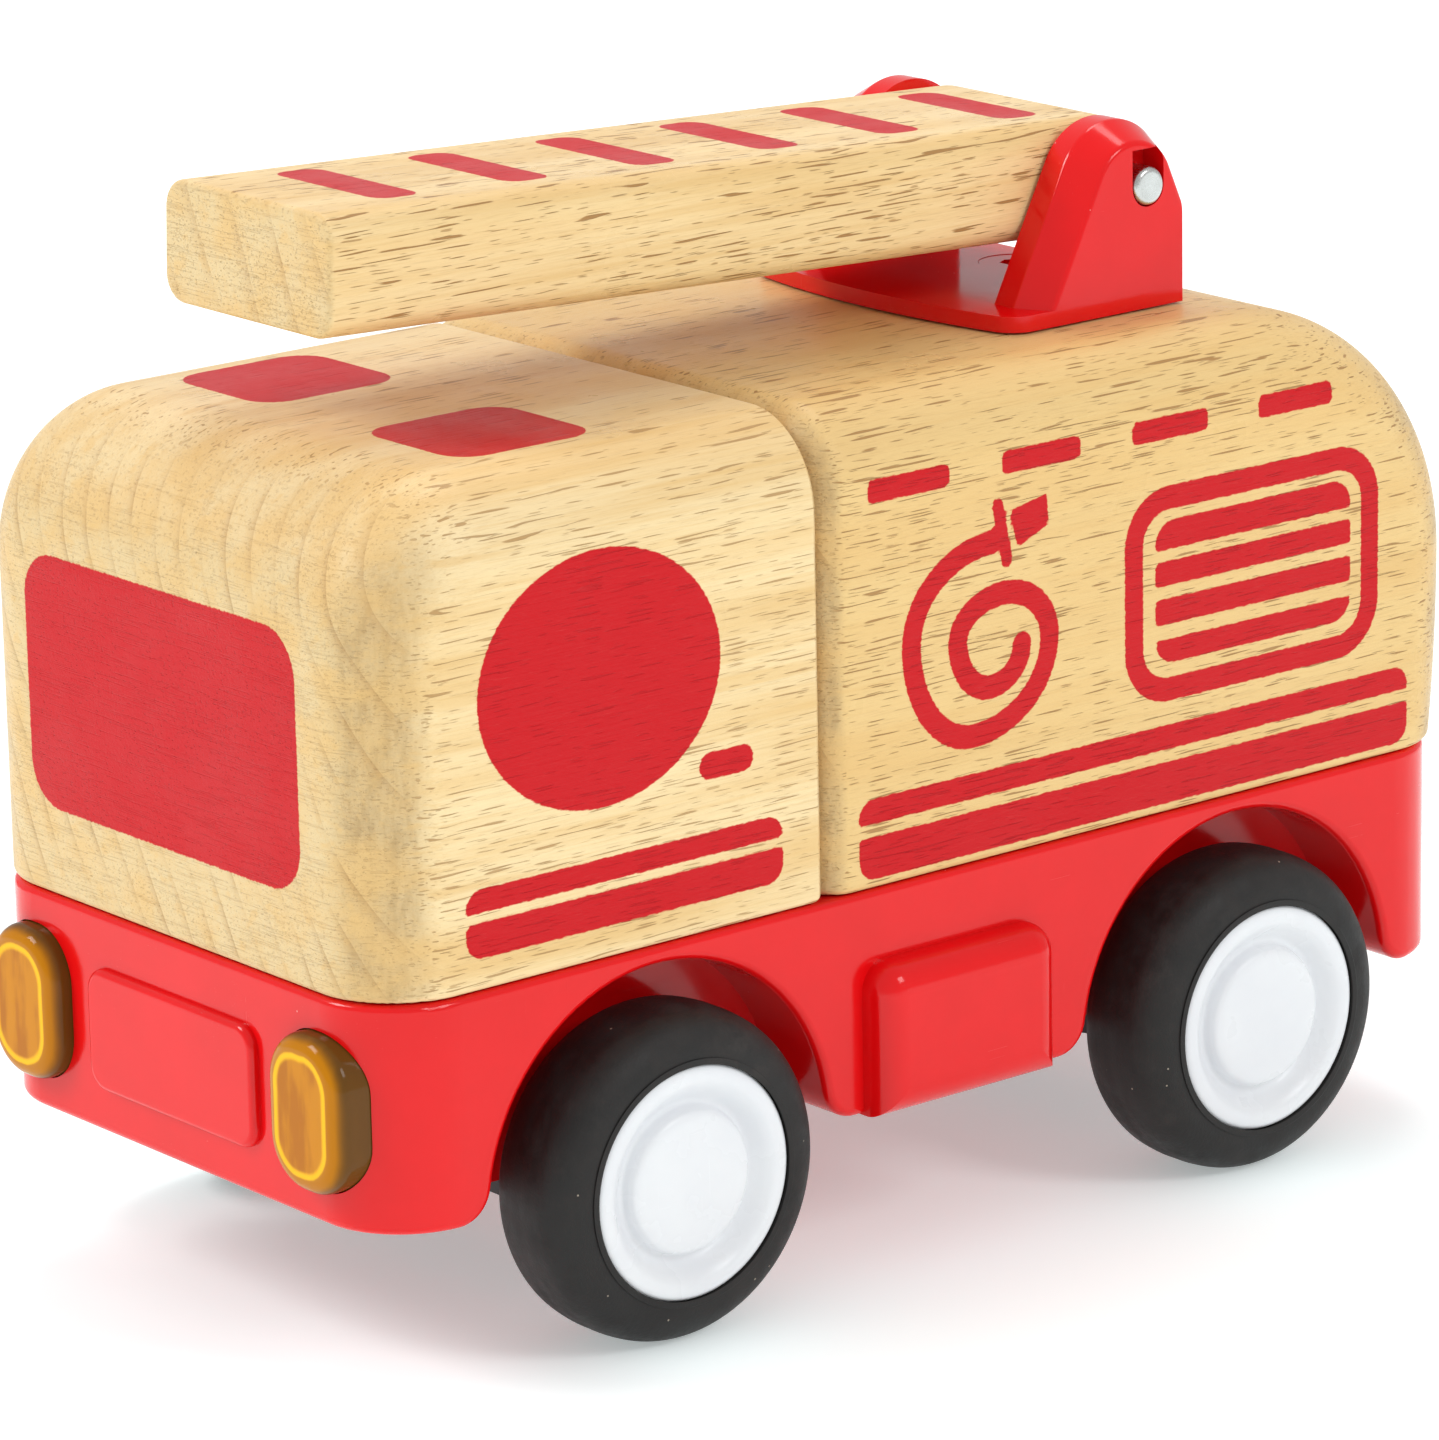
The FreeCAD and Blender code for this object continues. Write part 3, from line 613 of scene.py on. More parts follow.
def new_material(name: str) -> tuple[Material, Graph, Socket]:
    """An empty node material.

    Args:
        name: its name.

    Returns:
        The material, its graph, and the object's own coordinates in millimetres.
    """
    made = bpy.data.materials.new(name)
    made.use_nodes = True
    made.node_tree.nodes.clear()
    graph = Graph(made.node_tree)
    place = graph.add("TexCoord").outputs["Object"]
    place = graph.add("Mapping", {"Vector": place, "Scale": (1 / MM, 1 / MM, 1 / MM)}).outputs[0]
    return made, graph, place


def finish_with(graph: Graph, colour: Socket, rough: object, rest: dict[str, object]) -> None:
    """Ends a material with one Principled surface; rest holds its other inputs by name."""
    shader = graph.add("BsdfPrincipled", {"Base Color": colour, "Roughness": rough, **rest})
    graph.add("OutputMaterial", {"Surface": shader.outputs[0]})


@dataclass
class Finish:
    """What finishes share: a new material, its coordinates, handling marks and dust.

    Each finish adds its colours, its relief in metres and, where it has them, its dust's fields.
    """

    effects: Effects
    name: str

    def __post_init__(self) -> None:
        """Starts the material, and builds the finish on it."""
        self.made, self.g, self.place = new_material(self.name)
        self.build()

    def build(self) -> None:
        """Builds the finish; each has its own."""
        raise NotImplementedError

    def marks(self) -> dict[str, Socket]:
        """The handling marks at the finish's coordinates."""
        return self.effects.handling.use(self.g, {"Position": self.place})

    def dusted(self, colour: Socket, share: float) -> Socket:
        """A colour with specks of dust.

        Args:
            colour: the colour under the dust.
            share: how much of it a speck hides.

        Returns:
            The dusted colour.
        """
        inputs = {"Position": self.place, "Density": self.dust, "Size": self.speck_size}
        specks = self.effects.dust.use(self.g, inputs)["Mask"]
        return self.g.blend(self.g.times(specks, share), colour, self.speck)

    def end(self, colour: Socket, rough: Socket, height: Socket, **rest: float) -> None:
        """Ends the material; the height, times the finish's relief, shapes its normal."""
        finish_with(self.g, colour, rough, {"Normal": self.g.bump(height, self.relief), **rest})


@dataclass
class BeechFinish(Finish):
    """Sanded beech under thin clear lacquer, painted shade on rounded edges, and ink where the
    print's distance is negative.
    """

    light: Colour = (0.91, 0.71, 0.405, 1)
    ring: Colour = (0.77, 0.50, 0.20, 1)
    fleck: Colour = (0.42, 0.225, 0.08, 1)
    end_tint: Colour = (0.76, 0.575, 0.31, 1)
    # painted shade: the colour that rounded edges darken towards
    corner_shade_wood: Colour = (0.50, 0.335, 0.155, 1)
    ink: Colour = (0.58, 0.003, 0.008, 1)
    thin_ink: Colour = (0.82, 0.20, 0.16, 1)
    deep_ink: Colour = (0.40, 0.004, 0.008, 1)
    ring_pitch: float = 2.9
    flecks: float = 1.0
    shift: tuple = (0, 0, 0)
    rough: tuple = (0.26, 0.4)
    ink_rough: float = 0.06
    ink_rise: float = 0.25
    relief: float = 0.00007
    ior: float = 1.28

    def build(self) -> None:
        """Grain with painted shade on rounded edges, then ink, on coordinates that the shift moves
        through the grain.
        """
        g = self.g
        place = g.add("Mapping", {"Vector": self.place, "Location": self.shift}).outputs[0]
        self.place = place
        end = g.attribute("end_grain")
        # painted shade on rounded edges, strongest at their middle and uneven in patches
        patchy = g.ramp(g.noise(place, (1.1, 0.9, 0.3), 4.0, 0.65), 0.35, 0.7, 0.5, 0.95)
        worn_and_shaded = g.times(g.ramp(g.attribute("painted_corner_shade"), 0.35, 1.0), patchy)
        wood = self.effects.beech.use(
            g,
            {
                "Position": place,
                "Light wood": g.blend(worn_and_shaded, g.blend(end, self.light, self.end_tint), self.corner_shade_wood),
                "Ring wood": self.ring,
                "Fleck wood": self.fleck,
                "Ring pitch": self.ring_pitch,
                "End grain": end,
                "Flecks": self.flecks,
            },
        )
        ink = self.effects.ink.use(g, {"Position": place, "Distance": g.attribute("print_mm")})
        print_colour = g.blend(g.times(ink["Thin"], 0.22), self.ink, self.thin_ink)
        print_colour = g.blend(g.times(wood["Fleck"], 0.3), print_colour, self.deep_ink)
        colour = g.blend(ink["Mask"], wood["Color"], print_colour)
        rough = g.ramp(self.marks()["Cloud"], 0.3, 0.7, *self.rough)
        rough = g.plus(rough, g.times(ink["Mask"], self.ink_rough))
        height = g.plus(wood["Height"], g.times(ink["Mask"], self.ink_rise))
        self.end(colour, rough, height, IOR=self.ior)


@dataclass
class PlasticFinish(Finish):
    """Injection moulded plastic: even colour, faint flow marks, soft scratches and dust."""

    colour: Colour
    shade: Colour
    rough: tuple = (0.09, 0.17)
    scratch_rough: float = 0.12
    scratch_depth: float = 0.3
    relief: float = 0.00001
    dust: float = 0.05
    speck_size: float = 0.06
    speck: Colour = (0.9, 0.75, 0.7, 1)
    ior: float = 1.4

    def build(self) -> None:
        """Colour and gloss that drift with the handling marks."""
        g, marks = self.g, self.marks()
        cloud, scratch = marks["Cloud"], marks["Scratch"]
        colour = self.dusted(g.blend(g.ramp(cloud, 0.3, 0.75), self.colour, self.shade), 0.35)
        rough = g.ramp(cloud, 0.3, 0.7, *self.rough)
        rough = g.plus(rough, g.times(scratch, self.scratch_rough))
        height = g.minus(g.noise(self.place, 0.5), g.times(scratch, self.scratch_depth))
        self.end(colour, rough, height, IOR=self.ior)


@dataclass
class RubberFinish(Finish):
    """Matte charcoal rubber with a dusty bloom and pale specks."""

    dark: Colour = (0.010, 0.0085, 0.008, 1)
    worn_and_shaded: Colour = (0.034, 0.028, 0.026, 1)
    speck: Colour = (0.45, 0.38, 0.30, 1)
    dust: float = 0.16
    speck_size: float = 0.07
    rough: tuple = (0.46, 0.66)
    relief: float = 0.00003
    ior: float = 1.4

    def build(self) -> None:
        """A bloom that shows in patches over fine grit."""
        g = self.g
        bloom = g.noise(self.place, (0.35, 0.35, 0.35), 5.0, 0.7)
        amount = g.times(g.ramp(self.marks()["Cloud"], 0.3, 0.8), g.ramp(bloom, 0.35, 0.7))
        colour = self.dusted(g.blend(amount, self.dark, self.worn_and_shaded), 0.7)
        grit = g.noise(self.place, 3.2, 3.0, 0.7)
        self.end(colour, g.ramp(bloom, 0.3, 0.7, *self.rough), grit, IOR=self.ior)


@dataclass
class AmberFinish(Finish):
    """Amber moulding: a deep core ringed by a painted bright yellow glow, walls in painted brown
    shade, and a glossy skin.
    """

    core: Colour = (0.46, 0.145, 0.0, 1)
    deep: Colour = (0.60, 0.22, 0.0, 1)
    # painted glow of light through the lens round the core's edge
    rim: Colour = (0.95, 0.50, 0.0, 1)
    bevel: Colour = (0.50, 0.18, 0.001, 1)
    # painted shade on the lens's walls
    wall: Colour = (0.13, 0.055, 0.008, 1)
    rough: tuple = (0.04, 0.1)
    waver: float = 0.35
    relief: float = 0.00002
    ior: float = 1.25

    def build(self) -> None:
        """Bands of colour by the distance out from the core's edge: a painted glow round the core
        and painted shade on the walls.
        """
        g = self.g
        swirl = g.noise(self.place, (0.5, 0.35, 0.13), 3.0)
        out = g.plus(g.attribute("core_mm"), g.times(g.minus(swirl, 0.5), self.waver))
        colour = g.blend(g.ramp(swirl, 0.4, 0.62), self.core, self.deep)
        # painted glow just inside the core's edge, and painted shade on the walls
        bands = ((-0.6, -0.15, self.rim), (0.0, 0.25, self.bevel), (0.9, 1.6, self.wall))
        for start, end, band in bands:
            colour = g.blend(g.ramp(out, start, end), colour, band)
        rough = g.ramp(self.marks()["Cloud"], 0.3, 0.7, *self.rough)
        self.end(colour, rough, swirl, IOR=self.ior)


@dataclass
class SteelFinish(Finish):
    """Steel with fine drawn lines and a slightly uneven shine."""

    colour: Colour = (0.62, 0.62, 0.61, 1)
    tarnish: Colour = (0.40, 0.39, 0.37, 1)
    rough: tuple = (0.18, 0.38)
    relief: float = 0.000008

    def build(self) -> None:
        """Lines round the X axis and a cloudy tarnish."""
        g = self.g
        lines = g.noise(self.place, (0.4, 9.0, 9.0))
        colour = g.blend(g.ramp(self.marks()["Cloud"], 0.35, 0.75), self.colour, self.tarnish)
        self.end(colour, g.ramp(lines, 0.3, 0.7, *self.rough), lines, Metallic=1.0)


# ---- prints


@dataclass(frozen=True)
class Print:
    """One printed area as a rounded rectangle, or a band along its outline.

    box holds (a low, a high, b low, b high) in the plane of the face.
    """

    box: tuple
    radius: float
    band: float = 0.0

    def distance(self, a: Array, b: Array) -> Array:
        """Distance to the print; for a band, to the band's middle less half its width."""
        gap = round_rect(a, b, self.box, self.radius)
        return np.abs(gap + self.band / 2) - self.band / 2 if self.band else gap


@dataclass(frozen=True)
class Bars:
    """Printed bars across one rounded area, whose ends follow the area's corners.

    area holds (a low, a high, b low, b high), and rows holds each bar's (b low, b high).
    """

    area: tuple
    rows: tuple
    area_radius: float
    radius: float

    def distance(self, a: Array, b: Array) -> Array:
        """Distance to the nearest bar: the larger of the distances to its row and to the area."""
        rows = [round_rect(a, b, (*self.area[:2], *row), self.radius) for row in self.rows]
        return np.maximum(np.min(rows, axis=0), round_rect(a, b, self.area, self.area_radius))


def ellipse_distance(a: Array, b: Array, centre: tuple, half: tuple) -> Array:
    """Distance to an ellipse, close to its outline: the level less 1, over the level's slope.

    Args:
        a: first coordinate.
        b: second coordinate.
        centre: the ellipse's middle.
        half: its half width along each coordinate.

    Returns:
        The distance, negative inside.
    """
    u = (a - centre[0]) / half[0]
    v = (b - centre[1]) / half[1]
    level = np.sqrt(u**2 + v**2) + 1e-9
    slope = np.sqrt((u / half[0]) ** 2 + (v / half[1]) ** 2) / level + 1e-9
    return (level - 1) / slope


def line_distance(a: Array, b: Array, line: Array, half: float) -> Array:
    """Distance to a round ended band along a polyline: the least distance to its segments less
    half the band's width.

    Args:
        a: first coordinate.
        b: second coordinate.
        line: the polyline's points.
        half: half the band's width.

    Returns:
        The distance, negative inside.
    """
    best = np.full(a.shape, np.inf)
    for start, end in zip(line[:-1], line[1:]):
        run = end - start
        t = np.clip(((a - start[0]) * run[0] + (b - start[1]) * run[1]) / (run @ run), 0, 1)
        best = np.minimum(best, np.hypot(a - start[0] - t * run[0], b - start[1] - t * run[1]))
    return best - half


def polygon_distance(a: Array, b: Array, corners: Sequence[tuple]) -> Array:
    """Distance to a convex polygon: the largest distance to its edge lines.

    Args:
        a: first coordinate.
        b: second coordinate.
        corners: the polygon's corners, anticlockwise.

    Returns:
        The distance, negative inside.
    """
    gap = np.full(a.shape, -np.inf)
    for (a0, b0), (a1, b1) in zip(corners, [*corners[1:], corners[0]]):
        length = math.hypot(a1 - a0, b1 - b0)
        gap = np.maximum(gap, ((a - a0) * (b1 - b0) - (b - b0) * (a1 - a0)) / length)
    return gap


def swept_turns(extremes: Sequence[tuple[float, float]], steps: int = 14) -> Array:
    """A spiral through its highest, leftmost, lowest and rightmost points in turn, with a quarter
    ellipse between each two.

    Args:
        extremes: the points, starting at a highest one.
        steps: samples on each quarter.

    Returns:
        The spiral's points.
    """
    t = np.linspace(0, math.pi / 2, steps)
    spans = []
    for k, (start, end) in enumerate(zip(extremes[:-1], extremes[1:])):
        if k % 2 == 0:
            a = start[0] + (end[0] - start[0]) * np.sin(t)
            b = end[1] + (start[1] - end[1]) * np.cos(t)
        else:
            a = end[0] + (start[0] - end[0]) * np.cos(t)
            b = start[1] + (end[1] - start[1]) * np.sin(t)
        spans.append(np.stack([a, b], 1)[: None if k == len(extremes) - 2 else -1])
    return np.concatenate(spans)


# ---- wooden blocks


@dataclass
class WoodBlock:
    """What both blocks share: the stock's size and how its surface is made."""

    node: str
    edge_r: float
    foot_r: float = 0.8
    pitches: tuple = (0.625, 0.5, 0.5)
    print_reach: float = 6.0

    def __post_init__(self) -> None:
        """Takes the block's size from the frame."""
        self.low, self.high = box_mm(self.node)

    def profile(self, y: Array, z: Array) -> Array:
        """Distance to the block's side outline; each block has its own."""
        raise NotImplementedError

    def ends(self, p: Array, gap: Array) -> Array:
        """Adds the block's flat end to the distance; each block has its own."""
        raise NotImplementedError

    def prints(self, p: Array) -> Array:
        """Distance to the nearest print; each block has its own."""
        raise NotImplementedError

    def distance(self, p: Array) -> Array:
        """The outline carried across X with rounded side edges, cut at the end and the foot."""
        gap = round_join(self.profile(*p.T[1:]), np.abs(p[:, 0]) - self.high[0], self.edge_r)
        return round_join(self.ends(p, gap), self.low[2] - p[:, 2], self.foot_r)

    def build(self, wood: Material) -> Object:
        """Makes the block from a box grid settled on to the rounded form.

        Args:
            wood: its material.

        Returns:
            The block.
        """
        points, faces = rounded_solid(self.low, self.high, self.pitches, self.distance)
        x, y, _ = gradient(points, self.distance).T
        values = {
            "print_mm": self.prints(points),
            "end_grain": end_grain(np.abs(y)),
            # painted shade, strongest halfway round a rounded side edge
            "painted_corner_shade": painted_corner_shade(x, y),
        }
        name = self.node + "_wood"
        return Piece(name, (points, faces), wood, Body.CHASSIS, self.node, values).place()


@dataclass
class CabBlock(WoodBlock):
    """The front block: round brow, windscreen, windows, door handles, stripes and hatches."""

    brow_r: float = 13.0
    rear_r: float = 0.7
    windscreen: Print = Print((-19.35, 18.55, 41.45, 63.35), 4.0)
    windscreen_reach: float = 9.0
    hatch: Print = Print((6.3, 20.1, -43.6, -29.25), 3.0)
    window: tuple = ((-36.5, 57.3), (12.45, 10.75))
    handle: Print = Print((-26.5, -20.8, 46.7, 49.0), 1.1)
    stripes: Bars = Bars((-50.7, -17.8, 36.5, 42.3), ((40.3, 42.3), (36.5, 39.5)), 1.7, 0.2)

    def profile(self, y: Array, z: Array) -> Array:
        """Front face and roof joined by the brow's radius."""
        return round_join(self.low[1] - y, z - self.high[2], self.brow_r)

    def ends(self, p: Array, gap: Array) -> Array:
        """The flat rear end with slightly broken edges."""
        return round_join(gap, p[:, 1] - self.high[1], self.rear_r)

    def prints(self, p: Array) -> Array:
        """The least of the front, roof and side prints, each kept near its own face.

        Args:
            p: positions, one per row.

        Returns:
            The distance, negative inside.
        """
        x, y, z = p.T
        front = self.windscreen.distance(x, z)
        front = np.maximum(front, y - self.low[1] - self.windscreen_reach)
        roof = self.hatch.distance(np.abs(x), y)
        roof = np.maximum(roof, self.high[2] - self.print_reach - z)
        side = ellipse_distance(y, z, *self.window)
        for shape in (self.handle, self.stripes):
            side = np.minimum(side, shape.distance(y, z))
        side = np.maximum(side, self.high[0] - self.print_reach - np.abs(x))
        return np.minimum(np.minimum(front, roof), side)


@dataclass
class RearBlock(WoodBlock):
    """The rear block: round tail, dashes, hose, grille and stripes."""

    brow_r: float = 24.0
    groove_r: float = 3.0
    bulge: float = 1.0
    dashes: tuple = ((-8.2, 0.75), (6.55, 15.35), (21.2, 29.95), (35.85, 44.65))
    dash_z: tuple = (66.8, 68.8)
    dash_r: float = 0.5
    frame: Print = Print((20.3, 50.2, 43.7, 62.7), 5.0, 2.1)
    slats: Bars = Bars(
        (23.8, 46.85, 47.05, 59.7),
        ((57.1, 59.7), (53.9, 56.1), (50.5, 52.8), (47.05, 49.2)),
        2.2,
        0.3,
    )
    stripes: Bars = Bars((-9.6, 53.85, 34.6, 41.6), ((39.4, 41.6), (34.6, 38.3)), 1.7, 0.2)
    hose_area: tuple = ((-6, 14), (42, 67))
    hose_skin: float = 2.0
    hose_half: float = 1.05
    hose: tuple = (
        *((5.6, 61.25), (-3.65, 53.6), (3.1, 44.85), (11.7, 52.1)),
        *((6.7, 56.65), (1.45, 53.2), (5.0, 48.75), (8.6, 51.9)),
    )
    collar: tuple = ((6.0, 64.3), (7.0, 59.4))
    collar_half: float = 0.62
    nozzle: tuple = ((7.3, 63.6), (8.2, 60.3), (11.7, 61.7), (11.5, 64.4))

    def profile(self, y: Array, z: Array) -> Array:
        """Roof and tail joined by the brow's radius; below it the tail eases forward by the bulge
        times the square of the fall.

        Args:
            y: distance along the vehicle.
            z: height.

        Returns:
            The distance, negative inside.
        """
        brow_z = self.high[2] - self.brow_r
        fall = np.clip((brow_z - z) / (brow_z - self.low[2]), 0, 1)
        return round_join(y + self.bulge * fall**2 - self.high[1], z - self.high[2], self.brow_r)

    def ends(self, p: Array, gap: Array) -> Array:
        """The flat front end with the groove's soft edge."""
        return round_join(gap, self.low[1] - p[:, 1], self.groove_r)

    def prints(self, p: Array) -> Array:
        """The least of the side prints, kept near the sides.

        Args:
            p: positions, one per row.

        Returns:
            The distance, negative inside.
        """
        x, y, z = p.T
        side = self.frame.distance(y, z)
        for ends in self.dashes:
            side = np.minimum(side, round_rect(y, z, (*ends, *self.dash_z), self.dash_r))
        for bars in (self.slats, self.stripes):
            side = np.minimum(side, bars.distance(y, z))
        (y0, y1), (z0, z1) = self.hose_area
        near = (np.abs(x) > self.high[0] - self.hose_skin) & (y > y0) & (y < y1)
        near &= (z > z0) & (z < z1)
        y, z = y[near], z[near]
        for shape in (
            line_distance(y, z, swept_turns(self.hose), self.hose_half),
            line_distance(y, z, np.array(self.collar), self.collar_half),
            polygon_distance(y, z, self.nozzle),
        ):
            side[near] = np.minimum(side[near], shape)
        return np.maximum(side, self.high[0] - self.print_reach - np.abs(x))


# ---- ladder


@dataclass
class LadderBar:
    """The wooden ladder bar: rounded long edges, a round hinge end and printed rungs."""

    node: str = "ladder_bar"
    length: float = 82.8
    tilt: float = math.radians(2.3)
    edge_r: float = 2.4
    end_r: float = 0.6
    rung_half: float = 7.4
    rung_width: float = 4.6
    rung_corner_r: float = 1.5
    first_rung: float = -72.7
    rung_pitch: float = 13.42
    rungs: int = 6
    pitch: float = 0.5
    # share of the painted shade on the rounded long edges
    corner_shade_share: float = 0.5

    def __post_init__(self) -> None:
        """Takes the bar's width and the pin's place from the frame."""
        low, high = box_mm(self.node)
        pin_low, pin_high = box_mm("ladder_pin")
        self.half = (high[0] - low[0]) / 2
        self.pin = (pin_low + pin_high) / 2
        self.thick = high[1] - self.pin[1]

    def distance(self, p: Array) -> Array:
        """Distance in the bar's own frame: a strip closed by a half circle round the pin, carried
        across X with rounded edges, and cut square at the front.

        Args:
            p: positions, one per row.

        Returns:
            The distance, negative inside.
        """
        x, y, z = p.T
        strip = np.where(y < 0, np.abs(z), np.hypot(y, z)) - self.thick
        gap = round_join(strip, np.abs(x) - self.half, self.edge_r)
        return round_join(gap, -self.length - y, self.end_r)

    def prints(self, p: Array) -> Array:
        """Distance to the nearest rung, a rounded bar across the top.

        Args:
            p: positions, one per row.

        Returns:
            The distance, negative inside.
        """
        x, y, z = p.T
        k = np.clip(np.round((y - self.first_rung) / self.rung_pitch), 0, self.rungs - 1)
        gap = np.abs(y - (self.first_rung + k * self.rung_pitch)) - self.rung_width / 2
        rung = round_join(np.abs(x) - self.rung_half, gap, self.rung_corner_r)
        return np.maximum(rung, -z)

    def build(self, wood: Material) -> Object:
        """Makes the bar in its own frame, then tilts it round the pin.

        Args:
            wood: its material.

        Returns:
            The bar.
        """
        half, thick = self.half, self.thick
        low, high = (-half, -self.length, -thick), (half, thick, thick)
        points, faces = rounded_solid(low, high, (self.pitch,) * 3, self.distance)
        x, y, z = gradient(points, self.distance).T
        values = {
            "print_mm": self.prints(points),
            "end_grain": end_grain(-y),
            # painted shade on the rounded long edges, at a share of its full strength
            "painted_corner_shade": painted_corner_shade(x, z) * self.corner_shade_share,
        }
        c, s = math.cos(self.tilt), math.sin(self.tilt)
        placed = points @ np.array([[1, 0, 0], [0, c, s], [0, -s, c]]).T + self.pin
        name = self.node + "_wood"
        return Piece(name, (placed, faces), wood, Body.LADDER, self.node, values).place()


# ---- wheels


@dataclass
class Wheel:
    """One wheel: a tyre with round shoulders on a dished hub.

    shoulder holds (in from the wall, in from the tread) and face holds (in from the outer face, in
    from the rim) for each point of a profile.
    """

    axle: Axle
    side: Side
    steps: int = 160
    bore_gap: float = 0.03
    lip: tuple = (0.12, 0.35)
    bead: float = 0.8
    shoulder: tuple = ((0.03, 4.2), (0.35, 2.4), (1.15, 1.05), (2.4, 0.28), (3.9, 0.02))
    boss: tuple = (1.1, 4.2)
    face: tuple = (
        *((1.1, 0.0), (0.5, 0.12), (0.12, 0.5), (0.0, 1.05), (0.1, 1.65), (0.5, 2.2)),
        *((1.1, 2.75), (1.5, 3.2), (1.6, 3.55), (1.45, 3.8), (0.95, 3.98), (0.5, 4.25)),
        *((0.28, 4.8), (0.2, 5.8), (0.12, 8.0)),
    )
    dome: float = 0.1

    def __post_init__(self) -> None:
        """Takes the wheel's size and place from the frame."""
        self.stem = f"{self.axle.value}_{self.side.value}"
        low, high = box_mm(self.stem + "_tyre")
        hub_low, hub_high = box_mm(self.stem + "_hub")
        self.centre = (low + high) / 2
        self.radius = (high[2] - low[2]) / 2
        self.half = (high[0] - low[0]) / 2
        self.hub_r = (hub_high[2] - hub_low[2]) / 2
        self.body = Body(self.axle.value + "_wheels")

    def spun(self, profile: Array) -> Shell:
        """Turns a profile into this wheel's place, with its outer face away from the vehicle.

        Args:
            profile: (x, radius) rows.

        Returns:
            The points and faces.
        """
        points, faces = turned(profile, self.steps)
        if self.side is Side.RIGHT:
            points[:, 0] *= -1
            faces = faces[:, ::-1]
        return points + self.centre, faces

    def tyre_profile(self) -> Array:
        """Bore to bore: flat inner wall, round shoulder, slightly crowned tread, round shoulder
        and a small lip beside the hub.

        Returns:
            The profile's (x, radius) rows.
        """
        h, r = self.half, self.radius
        bore = self.hub_r + self.bore_gap
        wall = [(-h, bore), (-h, bore + self.bead)]
        wall += [(-h + inset, r - drop) for inset, drop in self.shoulder]
        outer = [(-x, radius) for x, radius in wall[:1:-1]]
        outer += [(h, bore + self.lip[1]), (h - self.lip[0], bore)]
        line = smooth_line([*wall, (0.0, r), *outer], 8)
        return np.vstack([line, [(0.0, bore)], [(-h, bore)]])

    def hub_profile(self) -> Array:
        """Pole to pole: back boss, drum, rounded rim, channel and a softly domed centre.

        Returns:
            The profile's (x, radius) rows.
        """
        h, r = self.half, self.hub_r
        depth, boss_r = self.boss
        back = [(-h - depth, 0.0), (-h - depth, boss_r), (-h, boss_r), (-h, r)]
        face = [(h - inset, r - drop) for inset, drop in self.face]
        return np.vstack([back, smooth_line([*face, (h - self.dome, 0.0)], 7)])

    def build(self, rubber: Material, white: Material) -> list[Object]:
        """Makes the tyre and the hub.

        Args:
            rubber: the tyre's material.
            white: the hub's material.

        Returns:
            The two objects.
        """
        made = []
        for part, profile, finish in (
            ("tyre", self.tyre_profile(), rubber),
            ("hub", self.hub_profile(), white),
        ):
            node = f"{self.stem}_{part}"
            piece = Piece(node + "_round", self.spun(profile), finish, self.body, node)
            made.append(piece.place())
            weld(made[-1])
        return made


def weld(obj: Object) -> None:
    """Merges doubled points, such as a turned shape's poles, and drops the empty faces left.

    Args:
        obj: a mesh object.
    """
    work = bmesh.new()
    work.from_mesh(obj.data)
    bmesh.ops.remove_doubles(work, verts=work.verts, dist=WELD_M)
    bmesh.ops.dissolve_degenerate(work, dist=WELD_M / 2, edges=work.edges)
    bmesh.ops.recalc_face_normals(work, faces=work.faces)
    work.to_mesh(obj.data)
    work.free()


# ---- lamps


@dataclass
class Lens:
    """One amber headlamp lens: a pillow shaped block, painted with a core as if seen through it, a
    glow round the core and shade on the walls.
    """

    side: Side
    corner_r: float = 4.5
    edge_r: float = 1.5
    back_r: float = 0.05
    core_inset: float = 1.6
    core_depth: float = 1.2
    pitch: float = 0.2

    def __post_init__(self) -> None:
        """Takes the lens's size from the frame."""
        self.node = self.side.value + "_headlamp_lens"
        self.low, self.high = box_mm(self.node)

    def outline(self, p: Array) -> Array:
        """Distance to the lens's outline in the XZ plane."""
        box = (self.low[0], self.high[0], self.low[2], self.high[2])
        return round_rect(p[:, 0], p[:, 2], box, self.corner_r)

    def distance(self, p: Array) -> Array:
        """The outline joined to the front face by the edge radius, and cut flat at the back."""
        gap = round_join(self.outline(p), self.low[1] - p[:, 1], self.edge_r)
        return round_join(gap, p[:, 1] - self.high[1], self.back_r)

    def build(self, amber: Material) -> Object:
        """Makes the lens.

        Args:
            amber: its material.

        Returns:
            The lens.
        """
        points, faces = rounded_solid(self.low, self.high, (self.pitch,) * 3, self.distance)
        behind = points[:, 1] - self.low[1] - self.core_depth
        # distance out from the painted core's edge, where the painted glow and shade fall
        values = {"core_mm": np.maximum(self.outline(points) + self.core_inset, behind)}
        name = self.node + "_clear"
        return Piece(name, (points, faces), amber, Body.CHASSIS, self.node, values).place()


# ---- moulded and metal parts


@dataclass
class FrameParts:
    """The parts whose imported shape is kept: mouldings, axles and fasteners."""

    red: tuple = ("chassis_shell", "ladder_bracket", "swivel_screw")
    dark: tuple = ("front_axle_keeper", "rear_axle_keeper")
    bright: tuple = ("front_axle", "rear_axle", "ladder_pin")
    zinc: tuple = ("cab_block_screws", "rear_block_screws", "keeper_screws")

    def dress(self, finishes: dict[str, Material]) -> None:
        """Gives each kept part its material.

        Args:
            finishes: material by field name.
        """
        for key, material in finishes.items():
            for node in getattr(self, key):
                slots = frame["nodes"][node].data.materials
                slots.clear()
                slots.append(material)
                LOG.info("%s: kept, dressed in %s", node, material.name)


# ---- studio


